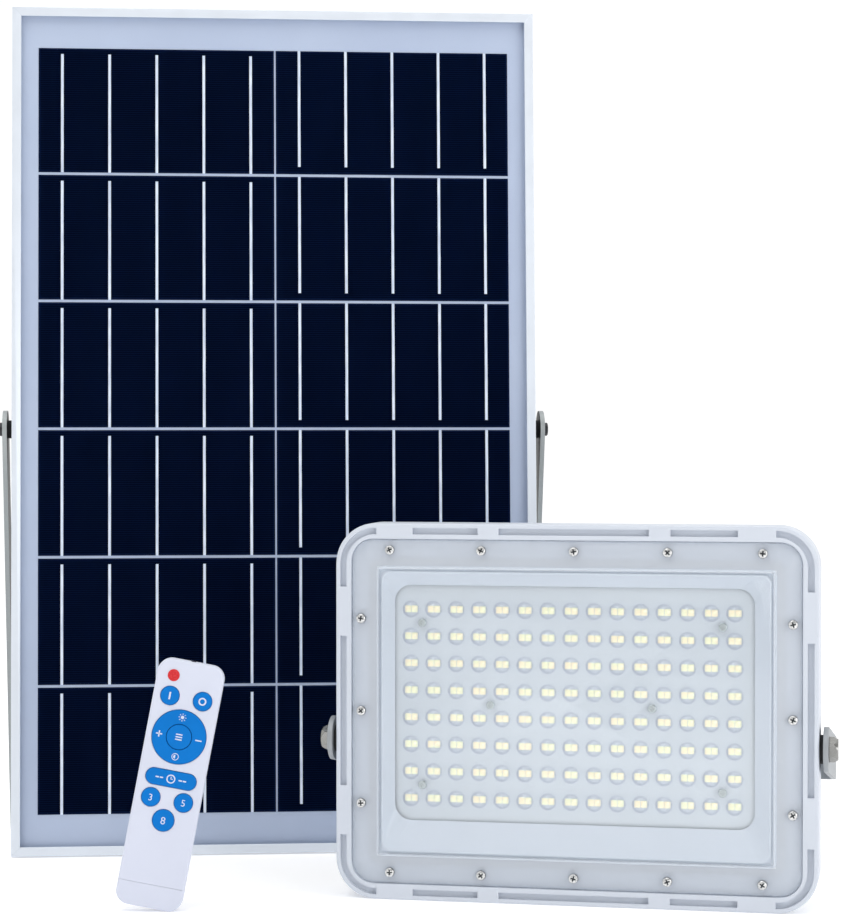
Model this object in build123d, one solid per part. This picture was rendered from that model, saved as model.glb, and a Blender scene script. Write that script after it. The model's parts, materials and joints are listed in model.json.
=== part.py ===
from build123d import *
import math
import os

# Solar flood light kit: a framed solar panel on a U-bracket, a flood lamp on a
# U-bracket and a hand-held remote control.  Millimetres, +Z up, +X to the right,
# +Y to the back.  Each of the three is built in its own frame, with its front
# face in the XZ plane and depth along +Y, and then placed in the kit.

os.makedirs("parts", exist_ok=True)

# ---------------------------------------------------------------- panel sizes
PANEL_WIDTH = 350.0
PANEL_HEIGHT = 564.0
PANEL_DEPTH = 17.0
PANEL_LEAN = 3.56            # degrees back from upright
RAIL_FACE = 10.0             # width of a frame rail across its hollow chamber
RAIL_LIP = 6.0               # width of the lip that holds the glass
RAIL_WALL = 1.4
LIP_THICK = 1.3
LAMINATE_EDGE = 2.0          # the laminate stops this far inside the frame
GLASS_THICK = 3.2
RIBBON_THICK = 0.2
CELL_THICK = 0.3
BACKSHEET_THICK = 0.9
CELL_COLUMNS = 2
CELL_ROWS = 6
CELL_FIELD_WIDTH = 315.5
CELL_FIELD_HEIGHT = 510.5
CELL_COLUMN_GAP = 1.2
CELL_ROW_GAP = 1.8
RIBBONS_PER_CELL = 5
RIBBON_WIDTH = 1.8
RIBBON_SHORT_LEFT = 3.9      # bare strip at the top of each left-hand cell
RIBBON_SHORT_RIGHT = 5.0     # bare strip at the foot of each right-hand cell
CHAMBER_FRONT = 7.3          # the rail's hollow chamber, front and back depth
CHAMBER_BACK = 15.6
PANEL_PIVOT_DEPTH = (CHAMBER_FRONT + CHAMBER_BACK) / 2
CORNER_KEY_ARM = 30.0
CORNER_KEY_PLAY = 0.3

# ---------------------------------------------------------- panel bracket sizes
PANEL_STRIP_WIDTH = 25.0
STRIP_THICK = 3.0
PANEL_WASHER_THICK = 3.0
PANEL_BRACKET_REACH = 288.0  # pivot to the outer face of the base bar
FACE_PLAY = 0.1              # free play between a leg and what clamps it
BEND_RADIUS = 3.0
PANEL_BOLT_RADIUS = 2.5
PANEL_BOLT_HEAD_RADIUS = 4.5
PANEL_BOLT_HEAD = 3.2
PIVOT_CLEARANCE = 0.1
FIXING_RADIUS = 4.25
FIXING_SPACING = 80.0

# ------------------------------------------------------------ junction box sizes
JBOX_WIDTH = 64.0
JBOX_HEIGHT = 82.0
JBOX_WALL = 2.0
JBOX_DEPTH = 11.0
JBOX_TOP_GAP = 40.0          # from the top of the panel to the box

# ------------------------------------------------------------------ lamp sizes
LAMP_WIDTH = 288.0
LAMP_HEIGHT = 226.0
LAMP_CORNER = 24.5
LAMP_YAW = -16.6             # degrees about +Z, relative to the panel
LAMP_AT = (168.1, -200.6)    # kit X and Y of the lamp's front centre
RIM_WIDTH = 9.3
SKIRT_DEPTH = 24.0
SKIRT_WALL = 3.0
LEDGE_FRONT = 5.5
LEDGE_BACK = 8.5
TUB_HALF_WIDTH = 119.0       # inside of the rear tub
TUB_HALF_HEIGHT = 87.0
TUB_WALL = 3.0
TUB_DEPTH = 46.0
FIN_HEIGHT = 4.0
FIN_COUNT = 13
FIN_PITCH = 16.0
SLOT_INSET = 2.65
SLOT_WIDTH = 3.9
SLOT_DEPTH = 3.0
WINDOW_HALF_WIDTH = 118.9
WINDOW_HALF_HEIGHT = 86.8
WINDOW_RAISE = 1.0           # the window stands this far in front of the rim
COVER_THICK = 2.0
FLANGE_FRONT = 2.0
GASKET_WIDTH = 4.0
LED_COLUMNS = 15
LED_ROWS = 8
LED_PITCH_X = 13.87
LED_PITCH_Z = 16.27
LED_CENTRE = (-2.6, 4.2)     # the board sits a little left of and above centre
TRAY_CENTRE = (-1.6, 4.8)
TRAY_FLOOR = (215.8, 141.8)
TRAY_WALL = 2.0
TRAY_CORNER = 10.0
TRAY_LIP_OVERLAP = 0.7       # the tray's outer lip reaches this far over the tub's wall
TRAY_LIP_PLAY = 0.2
LENS_FRONT = 9.0
LENS_BACK = 10.6
LENS_RADIUS = 5.3
LENS_RISE = 3.4
LENS_CAVITY_RADIUS = 4.7
CHIP_WIDTH = 3.9
CHIP_HEIGHT = 4.3
CHIP_THICK = 0.7
CHIP_SPACING = 3.98
BOARD_THICK = 1.6
LAMP_PIVOT_DEPTH = 11.5
LAMP_PIVOT_HEIGHT = -17.7
LAMP_BOLT_RADIUS = 4.0
LAMP_BOLT_ACROSS_FLATS = 13.0
LAMP_BOLT_HEAD = 5.3
LAMP_WASHER_THICK = 2.2
LAMP_STRIP_WIDTH = 26.4
LAMP_BRACKET_REACH = 105.0
LAMP_BRACKET_DROP = 10.0     # degrees below horizontal, legs pointing back
CELL_26650_RADIUS = 13.1
CELL_26650_LENGTH = 65.5
BATTERY_COUNT = 3

# ---------------------------------------------------------------- remote sizes
REMOTE_WIDTH = 39.3
REMOTE_LENGTH = 146.4
REMOTE_DEPTH = 9.0
REMOTE_CORNER = 8.0
REMOTE_ROLL = 10.8           # degrees, top leaning to the right
REMOTE_YAW = -5.1
REMOTE_AT = (-69.3, -197.5)
REMOTE_HEIGHT = 74.3         # kit Z of the remote's centre
REMOTE_WALL = 1.3
REMOTE_SEAM = 4.5            # depth where front and back shells meet
DRAWER_LINE = -59.2          # the end cap of the battery drawer starts here
KEY_PROUD = 0.6
KEY_PLAY = 0.3
KEY_LIP = 0.8
KEY_TRAVEL = 0.5
KEY_PITCH = 9.7              # half the distance between paired keys


# ------------------------------------------------------------------- helpers
def slab(sketch, front, back):
    """Extrude a sketch drawn in (x, z) from depth `front` to depth `back`."""
    return extrude(Plane.XZ.offset(-back) * sketch, back - front)


def box_between(x0, x1, y0, y1, z0, z1):
    """Box given by its corners."""
    centre = Pos((x0 + x1) / 2, (y0 + y1) / 2, (z0 + z1) / 2)
    return centre * Box(x1 - x0, y1 - y0, z1 - z0)


def rect_between(a0, a1, b0, b1):
    """Sketch rectangle given by its corners."""
    return Pos((a0 + a1) / 2, (b0 + b1) / 2) * Rectangle(a1 - a0, b1 - b0)


def rounded(half_width, half_height, radius):
    """Sketch of a centred rounded rectangle."""
    return RectangleRounded(2 * half_width, 2 * half_height, radius)


def rod_x(radius, x0, x1, y, z):
    """Round rod along X."""
    return Pos((x0 + x1) / 2, y, z) * Rot(0, 90, 0) * Cylinder(radius, abs(x1 - x0))


def rod_z(radius, z0, z1, x, y):
    """Round rod along Z."""
    return Pos(x, y, (z0 + z1) / 2) * Cylinder(radius, abs(z1 - z0))


def post(radius, x, z, front, back):
    """Round post along Y at (x, z)."""
    return slab(Pos(x, z) * Circle(radius), front, back)


def hex_x(across_flats, x0, x1, y, z):
    """Hexagonal prism along X."""
    prism = extrude(RegularPolygon(across_flats / 2, 6, major_radius=False), abs(x1 - x0))
    return Pos(min(x0, x1), y, z) * Rot(0, 90, 0) * prism


def group(solids):
    """Several solids of one node."""
    return Compound(children=list(solids))


def u_bracket(inner_half, width, reach, pivot_radius, fixing_spacing):
    """Flat strip bent to a U: pivot axis on X at the origin, legs along -Z."""
    outer_half = inner_half + STRIP_THICK
    top = width / 2
    outline = rect_between(-outer_half, outer_half, -reach, top)
    outline = fillet(outline.vertices().group_by(Axis.Y)[0], BEND_RADIUS + STRIP_THICK)
    hollow = rect_between(-inner_half, inner_half, STRIP_THICK - reach, top)
    hollow = fillet(hollow.vertices().group_by(Axis.Y)[0], BEND_RADIUS)
    strip = slab(outline - hollow, -width / 2, width / 2)
    side = Circle(width / 2) + rect_between(-width / 2, width / 2, -reach, 0)
    strip = strip & extrude(Plane.YZ.offset(-outer_half) * side, 2 * outer_half)
    strip -= rod_x(pivot_radius + PIVOT_CLEARANCE, -outer_half, outer_half, 0, 0)
    for x in (-fixing_spacing, 0, fixing_spacing):
        strip -= rod_z(FIXING_RADIUS, -reach, STRIP_THICK - reach, x, 0)
    return strip


def pan_screw(head_radius, head_height, shank_radius, length, cross=True):
    """Cross-head screw on the -Y axis: the seat of the head is at the origin."""
    head = slab(Circle(head_radius), -head_height, 0)
    head = fillet(head.edges().group_by(Axis.Y)[0], head_height * 0.45)
    screw = head + slab(Circle(shank_radius), 0, length)
    if cross:
        arm = head_radius * 1.1
        recess = Rectangle(arm, arm * 0.25) + Rectangle(arm * 0.25, arm)
        screw -= slab(recess, -head_height, -head_height * 0.4)
    return screw


# --------------------------------------------------------------------- panel
GLASS_BACK = LIP_THICK + GLASS_THICK
CELL_FRONT = GLASS_BACK + RIBBON_THICK
BACKSHEET_FRONT = CELL_FRONT + CELL_THICK
BACKSHEET_BACK = BACKSHEET_FRONT + BACKSHEET_THICK
CELL_WIDTH = (CELL_FIELD_WIDTH - (CELL_COLUMNS - 1) * CELL_COLUMN_GAP) / CELL_COLUMNS
CELL_HEIGHT = (CELL_FIELD_HEIGHT - (CELL_ROWS - 1) * CELL_ROW_GAP) / CELL_ROWS
PANEL_MID = PANEL_HEIGHT / 2


def rail(length):
    """Mitred frame rail along X with its outer face at z = 0."""
    section = rect_between(0, PANEL_DEPTH, 0, RAIL_FACE)
    section -= rect_between(LIP_THICK, BACKSHEET_BACK, RAIL_WALL, RAIL_FACE)
    section -= rect_between(0, LIP_THICK, RAIL_LIP, RAIL_FACE)
    section -= rect_between(CHAMBER_FRONT, CHAMBER_BACK, RAIL_WALL, RAIL_FACE - RAIL_WALL)
    bar = extrude(Plane.YZ.offset(-length / 2) * section, length)
    half = length / 2
    mitre = Polygon((-half, 0), (half, 0), (half - RAIL_FACE, RAIL_FACE),
                    (RAIL_FACE - half, RAIL_FACE), align=None)
    return bar & slab(mitre, 0, PANEL_DEPTH)


def side_rail():
    """Long rail with the hole for the bracket's pivot bolt at its middle."""
    hole = rod_z(PANEL_BOLT_RADIUS + PIVOT_CLEARANCE, 0, RAIL_WALL, 0, PANEL_PIVOT_DEPTH)
    return rail(PANEL_HEIGHT) - hole


def corner_keys():
    """Four L-shaped keys pushed into the chambers to hold the mitres."""
    keys = []
    start = RAIL_WALL + CORNER_KEY_PLAY
    stop = RAIL_FACE - RAIL_WALL - CORNER_KEY_PLAY
    front = CHAMBER_FRONT + CORNER_KEY_PLAY
    back = CHAMBER_BACK - CORNER_KEY_PLAY
    arm = start + CORNER_KEY_ARM
    for side in (-1, 1):
        for bottom in (0, PANEL_HEIGHT):
            up = 1 if bottom == 0 else -1
            edge = side * PANEL_WIDTH / 2
            xs = sorted((edge - side * start, edge - side * arm))
            zs = sorted((bottom + up * start, bottom + up * stop))
            flat = box_between(*xs, front, back, *zs)
            xs = sorted((edge - side * start, edge - side * stop))
            zs = sorted((bottom + up * start, bottom + up * arm))
            keys.append(flat + box_between(*xs, front, back, *zs))
    return group(keys)


def cell_corner(column, row):
    """Lower left corner of a cell in (x, z), counted from the bottom left."""
    x = -CELL_FIELD_WIDTH / 2 + column * (CELL_WIDTH + CELL_COLUMN_GAP)
    z = PANEL_MID - CELL_FIELD_HEIGHT / 2 + row * (CELL_HEIGHT + CELL_ROW_GAP)
    return x, z


def cells():
    """Thin rectangular cells behind the glass."""
    plates = []
    for column in range(CELL_COLUMNS):
        for row in range(CELL_ROWS):
            x, z = cell_corner(column, row)
            plates.append(box_between(x, x + CELL_WIDTH, CELL_FRONT, BACKSHEET_FRONT,
                                      z, z + CELL_HEIGHT))
    return group(plates)


def ribbons():
    """Bright ribbons on the cells: bare at the top on the left, at the foot on the right."""
    strips = []
    for column in range(CELL_COLUMNS):
        for row in range(CELL_ROWS):
            x, z = cell_corner(column, row)
            if column == 0:
                z0, z1 = z, z + CELL_HEIGHT - RIBBON_SHORT_LEFT
            else:
                z0, z1 = z + RIBBON_SHORT_RIGHT, z + CELL_HEIGHT
            for index in range(RIBBONS_PER_CELL):
                middle = x + (index + 0.5) * CELL_WIDTH / RIBBONS_PER_CELL
                strips.append(box_between(middle - RIBBON_WIDTH / 2, middle + RIBBON_WIDTH / 2,
                                          GLASS_BACK, CELL_FRONT, z0, z1))
    return group(strips)


def laminate_sheet(front, back):
    """Sheet that fills the frame's groove."""
    half = PANEL_WIDTH / 2 - LAMINATE_EDGE
    return box_between(-half, half, front, back, LAMINATE_EDGE, PANEL_HEIGHT - LAMINATE_EDGE)


def panel_bolts():
    """Two pivot bolts, heads outside the bracket's legs."""
    bolts = []
    seat = PANEL_WIDTH / 2 + PANEL_WASHER_THICK + STRIP_THICK + 2 * FACE_PLAY
    inner_end = PANEL_WIDTH / 2 - RAIL_FACE + RAIL_WALL + 1.0
    for side in (-1, 1):
        shank = rod_x(PANEL_BOLT_RADIUS, side * inner_end, side * seat,
                      PANEL_PIVOT_DEPTH, PANEL_MID)
        head = rod_x(PANEL_BOLT_HEAD_RADIUS, side * seat, side * (seat + PANEL_BOLT_HEAD),
                     PANEL_PIVOT_DEPTH, PANEL_MID)
        outer = head.edges().group_by(Axis.X)[-1 if side > 0 else 0]
        bolts.append(fillet(outer, PANEL_BOLT_HEAD * 0.3) + shank)
    return group(bolts)


def panel_washers():
    """Spacer washers between the frame and the bracket's legs."""
    rings = []
    half = PANEL_WIDTH / 2
    for side in (-1, 1):
        ring = rod_x(PANEL_BOLT_HEAD_RADIUS + 1.5, side * half,
                     side * (half + PANEL_WASHER_THICK), PANEL_PIVOT_DEPTH, PANEL_MID)
        hole = rod_x(PANEL_BOLT_RADIUS + PIVOT_CLEARANCE, side * half,
                     side * (half + PANEL_WASHER_THICK), PANEL_PIVOT_DEPTH, PANEL_MID)
        rings.append(ring - hole)
    return group(rings)


def panel_nuts():
    """Hexagon nuts inside the chambers of the side rails."""
    nuts = []
    wall = PANEL_WIDTH / 2 - RAIL_WALL
    across_flats = 7.8
    thick = 4.0
    for side in (-1, 1):
        nut = hex_x(across_flats, side * (wall - thick), side * wall,
                    PANEL_PIVOT_DEPTH, PANEL_MID)
        nut -= rod_x(PANEL_BOLT_RADIUS, side * (wall - thick), side * wall,
                     PANEL_PIVOT_DEPTH, PANEL_MID)
        nuts.append(nut)
    return group(nuts)


JBOX_FRONT = BACKSHEET_BACK
JBOX_BACK = JBOX_FRONT + JBOX_DEPTH
JBOX_TOP = PANEL_HEIGHT - JBOX_TOP_GAP
JBOX_MID = JBOX_TOP - JBOX_HEIGHT / 2
JBOX_BOSS_RADIUS = 3.5
JBOX_LID_THICK = 2.0
JBOX_GLAND_X = 16.0


def jbox_corners():
    """Places of the four lid screws."""
    inset = JBOX_WALL + JBOX_BOSS_RADIUS - 1
    for x in (-JBOX_WIDTH / 2 + inset, JBOX_WIDTH / 2 - inset):
        for z in (JBOX_MID - JBOX_HEIGHT / 2 + inset, JBOX_MID + JBOX_HEIGHT / 2 - inset):
            yield x, z


def junction_box():
    """Shallow tray glued to the backsheet, open to the back, with screw bosses."""
    outer = Pos(0, JBOX_MID) * RectangleRounded(JBOX_WIDTH, JBOX_HEIGHT, 5)
    inner = Pos(0, JBOX_MID) * RectangleRounded(JBOX_WIDTH - 2 * JBOX_WALL,
                                                JBOX_HEIGHT - 2 * JBOX_WALL, 3)
    tray = slab(outer, JBOX_FRONT, JBOX_BACK) - slab(inner, JBOX_FRONT + JBOX_WALL, JBOX_BACK)
    for x, z in jbox_corners():
        tray += post(JBOX_BOSS_RADIUS, x, z, JBOX_FRONT, JBOX_BACK)
        tray -= post(1.2, x, z, JBOX_FRONT + JBOX_WALL, JBOX_BACK)
    low = JBOX_MID - JBOX_HEIGHT / 2
    for x in (-JBOX_GLAND_X, JBOX_GLAND_X):
        tray -= rod_z(3.2, low, low + JBOX_WALL, x, JBOX_FRONT + JBOX_DEPTH / 2)
    return tray


def junction_box_lid():
    """Flat lid on the tray."""
    plate = Pos(0, JBOX_MID) * RectangleRounded(JBOX_WIDTH, JBOX_HEIGHT, 5)
    lid = slab(plate, JBOX_BACK, JBOX_BACK + JBOX_LID_THICK)
    lid = fillet(lid.edges().group_by(Axis.Y)[-1], 0.8)
    for x, z in jbox_corners():
        lid -= post(1.6, x, z, JBOX_BACK, JBOX_BACK + JBOX_LID_THICK)
    return lid


def junction_box_screws():
    """Four lid screws, heads to the back."""
    screw = pan_screw(2.4, 1.5, 1.2, 7.0)
    return group(Pos(x, JBOX_BACK + JBOX_LID_THICK, z) * Rot(0, 0, 180) * screw
                 for x, z in jbox_corners())


def junction_terminals():
    """Terminal board with two clamps and the bypass diode."""
    front = JBOX_FRONT + JBOX_WALL
    board = box_between(-20, 20, front, front + 1.6, JBOX_MID - 22, JBOX_MID + 22)
    for x in (-JBOX_GLAND_X + 4, JBOX_GLAND_X - 4):
        board += box_between(x - 4, x + 4, front + 1.6, front + 6.5, JBOX_MID - 18, JBOX_MID - 6)
    board += Pos(0, front + 3.6, JBOX_MID + 8) * Rot(0, 90, 0) * Cylinder(2.4, 12)
    return board


def junction_glands():
    """Two round cable glands under the box."""
    glands = []
    low = JBOX_MID - JBOX_HEIGHT / 2
    middle = JBOX_FRONT + JBOX_DEPTH / 2
    for x in (-JBOX_GLAND_X, JBOX_GLAND_X):
        gland = rod_z(3.0, low - 2, low + JBOX_WALL + 2, x, middle)
        gland += rod_z(5.0, low - 4, low, x, middle)
        gland += rod_z(4.0, low - 12, low - 4, x, middle)
        glands.append(gland - rod_z(1.8, low - 12, low + JBOX_WALL + 2, x, middle))
    return group(glands)


def build_panel():
    """All nodes of the panel, in the panel's own frame."""
    half = PANEL_WIDTH / 2
    nodes = {
        "panel_rail_bottom": rail(PANEL_WIDTH),
        "panel_rail_top": Pos(0, 0, PANEL_HEIGHT) * Rot(0, 180, 0) * rail(PANEL_WIDTH),
        "panel_rail_left": Pos(-half, 0, PANEL_MID) * Rot(0, 90, 0) * side_rail(),
        "panel_rail_right": Pos(half, 0, PANEL_MID) * Rot(0, -90, 0) * side_rail(),
        "panel_corner_keys": corner_keys(),
        "panel_glass": laminate_sheet(LIP_THICK, GLASS_BACK),
        "panel_ribbons": ribbons(),
        "panel_cells": cells(),
        "panel_backsheet": laminate_sheet(BACKSHEET_FRONT, BACKSHEET_BACK),
        "panel_pivot_bolts": panel_bolts(),
        "panel_pivot_washers": panel_washers(),
        "panel_pivot_nuts": panel_nuts(),
        "junction_box": junction_box(),
        "junction_box_lid": junction_box_lid(),
        "junction_box_screws": junction_box_screws(),
        "junction_terminals": junction_terminals(),
        "junction_glands": junction_glands(),
    }
    return nodes


def panel_bracket_angle():
    """Angle of the legs from vertical that puts the base bar's edge on the floor."""
    lean = math.radians(PANEL_LEAN)
    pivot_height = (PANEL_MID * math.cos(lean)
                    + (PANEL_DEPTH - PANEL_PIVOT_DEPTH) * math.sin(lean))
    half_strip = PANEL_STRIP_WIDTH / 2
    reach = math.hypot(PANEL_BRACKET_REACH, half_strip)
    tilt = math.atan2(half_strip, PANEL_BRACKET_REACH)
    return math.degrees(tilt + math.acos(pivot_height / reach))


def panel_bracket():
    """Bracket in the panel's frame, turned to where its base bar meets the floor."""
    inner_half = PANEL_WIDTH / 2 + PANEL_WASHER_THICK + FACE_PLAY
    bracket = u_bracket(inner_half, PANEL_STRIP_WIDTH, PANEL_BRACKET_REACH,
                        PANEL_BOLT_RADIUS, FIXING_SPACING)
    turned = Rot(panel_bracket_angle() + PANEL_LEAN, 0, 0) * bracket
    return Pos(0, PANEL_PIVOT_DEPTH, PANEL_MID) * turned


# ---------------------------------------------------------------------- lamp
HALF_WIDTH = LAMP_WIDTH / 2
HALF_HEIGHT = LAMP_HEIGHT / 2
RIM_INNER = (HALF_WIDTH - RIM_WIDTH, HALF_HEIGHT - RIM_WIDTH)
RIM_INNER_RADIUS = 13.5
BOARD_FRONT = LENS_BACK
BOARD_BACK = BOARD_FRONT + BOARD_THICK
COVER_SCREW_TOP_X = (-111.3, -55.7, 0.0, 55.7, 111.3)
COVER_SCREW_TOP_Z = 96.9
COVER_SCREW_SIDE_X = 128.9
COVER_SCREW_SIDE_Z = (-55.6, 0.0, 55.6)
SCREW_BOSS_RADIUS = 4.3


def cover_screw_places():
    """The sixteen screws round the flange."""
    places = [(x, side * COVER_SCREW_TOP_Z) for side in (-1, 1) for x in COVER_SCREW_TOP_X]
    places += [(side * COVER_SCREW_SIDE_X, z) for side in (-1, 1) for z in COVER_SCREW_SIDE_Z]
    return places


def lens_screw_places():
    """Six screws between the lenses."""
    x, z = LED_CENTRE
    places = [(x + sx * 6.5 * LED_PITCH_X, z + sz * 3 * LED_PITCH_Z)
              for sx in (-1, 1) for sz in (-1, 1)]
    return places + [(x + sx * 3.5 * LED_PITCH_X, z) for sx in (-1, 1)]


def led_places():
    """Centres of the lenses."""
    x, z = LED_CENTRE
    for column in range(LED_COLUMNS):
        for row in range(LED_ROWS):
            yield (x + (column - (LED_COLUMNS - 1) / 2) * LED_PITCH_X,
                   z + (row - (LED_ROWS - 1) / 2) * LED_PITCH_Z)


def rim_slots():
    """Sharp slots sunk in the face of the rim."""
    outer = rounded(HALF_WIDTH - SLOT_INSET, HALF_HEIGHT - SLOT_INSET, LAMP_CORNER - SLOT_INSET)
    inset = SLOT_INSET + SLOT_WIDTH
    inner = rounded(HALF_WIDTH - inset, HALF_HEIGHT - inset, LAMP_CORNER - inset)
    windows = rect_between(-44.8, 44.8, -HALF_HEIGHT, HALF_HEIGHT)
    windows += rect_between(-HALF_WIDTH, HALF_WIDTH, -45, 45)
    for side in (-1, 1):
        xs = sorted((side * 57.4, side * 96.9))
        windows += rect_between(*xs, -HALF_HEIGHT, HALF_HEIGHT)
        for top in (-1, 1):
            xs = sorted((side * 119.1, side * HALF_WIDTH))
            zs = sorted((top * 74.7, top * HALF_HEIGHT))
            windows += rect_between(*xs, *zs)
    return slab((outer - inner) & windows, 0, SLOT_DEPTH)


RECEIVER_AT = (-60.0, -78.0)
CONTROLLER_X = 66.0
CONTROLLER_SIZE = (28.0, 90.0)
CONTROLLER_FRONT = 34.4
GLAND_AT = (60.0, 34.0)
GLAND_HOLE_RADIUS = 6.2
TUB_BACK_INSIDE = TUB_DEPTH - TUB_WALL


def lamp_housing():
    """White moulding: slotted rim, skirt, ledge for the cover, rear tub and fins."""
    tub_outer = rounded(TUB_HALF_WIDTH + TUB_WALL, TUB_HALF_HEIGHT + TUB_WALL, 8)
    tub_inner = rounded(TUB_HALF_WIDTH, TUB_HALF_HEIGHT, 5)
    outline = rounded(HALF_WIDTH, HALF_HEIGHT, LAMP_CORNER)
    skirt_inner = rounded(HALF_WIDTH - SKIRT_WALL, HALF_HEIGHT - SKIRT_WALL,
                          LAMP_CORNER - SKIRT_WALL)
    skirt = slab(outline, 0, SKIRT_DEPTH)
    skirt = fillet(skirt.edges().group_by(Axis.Y)[0], 1.2)
    housing = skirt - slab(skirt_inner - tub_outer, LEDGE_BACK, SKIRT_DEPTH)
    housing += slab(tub_outer, LEDGE_BACK, TUB_DEPTH)
    for index in range(FIN_COUNT):
        x = (index - (FIN_COUNT - 1) / 2) * FIN_PITCH
        housing += box_between(x - 1.25, x + 1.25, TUB_DEPTH, TUB_DEPTH + FIN_HEIGHT, -75, 75)
    for side in (-1, 1):
        boss = rod_x(9.0, side * (TUB_HALF_WIDTH + 1), side * (HALF_WIDTH - 1),
                     LAMP_PIVOT_DEPTH + 2, LAMP_PIVOT_HEIGHT)
        housing += boss
    for x, z in cover_screw_places():
        housing += post(SCREW_BOSS_RADIUS, x, z, LEDGE_BACK, SKIRT_DEPTH - 3)
    housing -= slab(rounded(*RIM_INNER, RIM_INNER_RADIUS), 0, LEDGE_FRONT)
    housing -= slab(tub_inner, LEDGE_FRONT, TUB_BACK_INSIDE)
    for x, z in cover_screw_places():
        housing += post(SCREW_BOSS_RADIUS, x, z, FLANGE_FRONT + COVER_THICK, LEDGE_FRONT)
        housing -= post(1.4, x, z, FLANGE_FRONT + COVER_THICK, SKIRT_DEPTH - 6)
    for x, z in lens_screw_places():
        housing += post(3.5, x, z, BOARD_BACK, TUB_DEPTH - 1)
        housing -= post(1.3, x, z, BOARD_BACK, BOARD_BACK + 10)
    housing += post(3.0, *RECEIVER_AT, 13.0, TUB_DEPTH - 1)
    for side in (-1, 1):
        housing += post(2.5, CONTROLLER_X, side * 38.0, CONTROLLER_FRONT + BOARD_THICK, TUB_DEPTH - 1)
    housing -= rim_slots()
    for side in (-1, 1):
        housing -= rod_x(LAMP_BOLT_RADIUS, side * (TUB_HALF_WIDTH + 5), side * HALF_WIDTH,
                         LAMP_PIVOT_DEPTH, LAMP_PIVOT_HEIGHT)
    housing -= rod_z(GLAND_HOLE_RADIUS, -TUB_HALF_HEIGHT - TUB_WALL, -TUB_HALF_HEIGHT, *GLAND_AT)
    return housing


def lamp_gasket():
    """Seal between the ledge and the cover."""
    inner = rounded(TUB_HALF_WIDTH + 1, TUB_HALF_HEIGHT + 1, 5)
    outer = rounded(TUB_HALF_WIDTH + 1 + GASKET_WIDTH, TUB_HALF_HEIGHT + 1 + GASKET_WIDTH, 6)
    return slab(outer - inner, FLANGE_FRONT + COVER_THICK, LEDGE_FRONT)


def lamp_cover():
    """Clear cover: a flange with screw holes and a raised window."""
    play = 0.5
    flange_back = FLANGE_FRONT + COVER_THICK
    flange = rounded(RIM_INNER[0] - play, RIM_INNER[1] - play, RIM_INNER_RADIUS - play)
    cover = slab(flange, FLANGE_FRONT, flange_back)
    cover += slab(rounded(WINDOW_HALF_WIDTH, WINDOW_HALF_HEIGHT, 3), -WINDOW_RAISE, FLANGE_FRONT)
    pocket = rounded(WINDOW_HALF_WIDTH - COVER_THICK, WINDOW_HALF_HEIGHT - COVER_THICK, 2)
    cover -= slab(pocket, COVER_THICK - WINDOW_RAISE, flange_back)
    for x, z in cover_screw_places():
        cover -= post(1.8, x, z, FLANGE_FRONT, flange_back)
    return cover


def lamp_cover_screws():
    """Sixteen cross-head screws."""
    screw = pan_screw(2.85, 1.8, 1.4, 14.0)
    return group(Pos(x, FLANGE_FRONT, z) * screw for x, z in cover_screw_places())


def lamp_tray():
    """White reflector frame: walls that slope in to the lens plate and a lip over the ledge."""
    front = COVER_THICK - WINDOW_RAISE + 0.6
    half_width = WINDOW_HALF_WIDTH - COVER_THICK - 0.5
    half_height = WINDOW_HALF_HEIGHT - COVER_THICK - 0.5
    front_plane = Plane.XZ.offset(-front)
    back_plane = Plane.XZ.offset(-LENS_FRONT)
    floor = Pos(*TRAY_CENTRE) * RectangleRounded(*TRAY_FLOOR, TRAY_CORNER)
    floor_outer = Pos(*TRAY_CENTRE) * RectangleRounded(TRAY_FLOOR[0] + 2 * TRAY_WALL,
                                                       TRAY_FLOOR[1] + 2 * TRAY_WALL,
                                                       TRAY_CORNER + TRAY_WALL)
    mouth = rounded(half_width - TRAY_WALL / 2, half_height - TRAY_WALL / 2, TRAY_CORNER / 2)
    mouth_outer = rounded(half_width, half_height, TRAY_CORNER / 2)
    outside = loft([(front_plane * mouth_outer).faces()[0], (back_plane * floor_outer).faces()[0]])
    inside = loft([(front_plane * mouth).faces()[0], (back_plane * floor).faces()[0]])
    lip = rounded(TUB_HALF_WIDTH + TRAY_LIP_OVERLAP, TUB_HALF_HEIGHT + TRAY_LIP_OVERLAP, 5)
    lip_front = FLANGE_FRONT + COVER_THICK + TRAY_LIP_PLAY
    return outside + slab(lip, lip_front, LEDGE_FRONT - TRAY_LIP_PLAY) - inside


def lens_bubble():
    """One hollow dome, base plane at y = 0 and the dome towards -Y."""
    sphere_radius = (LENS_RADIUS ** 2 + LENS_RISE ** 2) / (2 * LENS_RISE)
    dome = Pos(0, sphere_radius - LENS_RISE, 0) * Sphere(sphere_radius)
    dome = dome & slab(Circle(LENS_RADIUS), -LENS_RISE, 0)
    hollow_rise = LENS_RISE - 0.7
    hollow_radius = (LENS_CAVITY_RADIUS ** 2 + hollow_rise ** 2) / (2 * hollow_rise)
    hollow = Pos(0, hollow_radius - hollow_rise, 0) * Sphere(hollow_radius)
    return dome - (hollow & slab(Circle(LENS_CAVITY_RADIUS), -LENS_RISE, 0))


def lamp_lens_plate():
    """Clear plate with a bubble over each pair of chips."""
    width = TRAY_FLOOR[0] + 4
    height = TRAY_FLOOR[1] + 4
    sketch = Pos(*TRAY_CENTRE) * Rectangle(width, height)
    sketch -= Sketch() + [Pos(x, z) * Circle(LENS_CAVITY_RADIUS) for x, z in led_places()]
    sketch -= Sketch() + [Pos(x, z) * Circle(1.7) for x, z in lens_screw_places()]
    plate = slab(sketch, LENS_FRONT, LENS_BACK)
    bubble = lens_bubble()
    return plate.fuse(*[Pos(x, LENS_FRONT, z) * bubble for x, z in led_places()])


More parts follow.
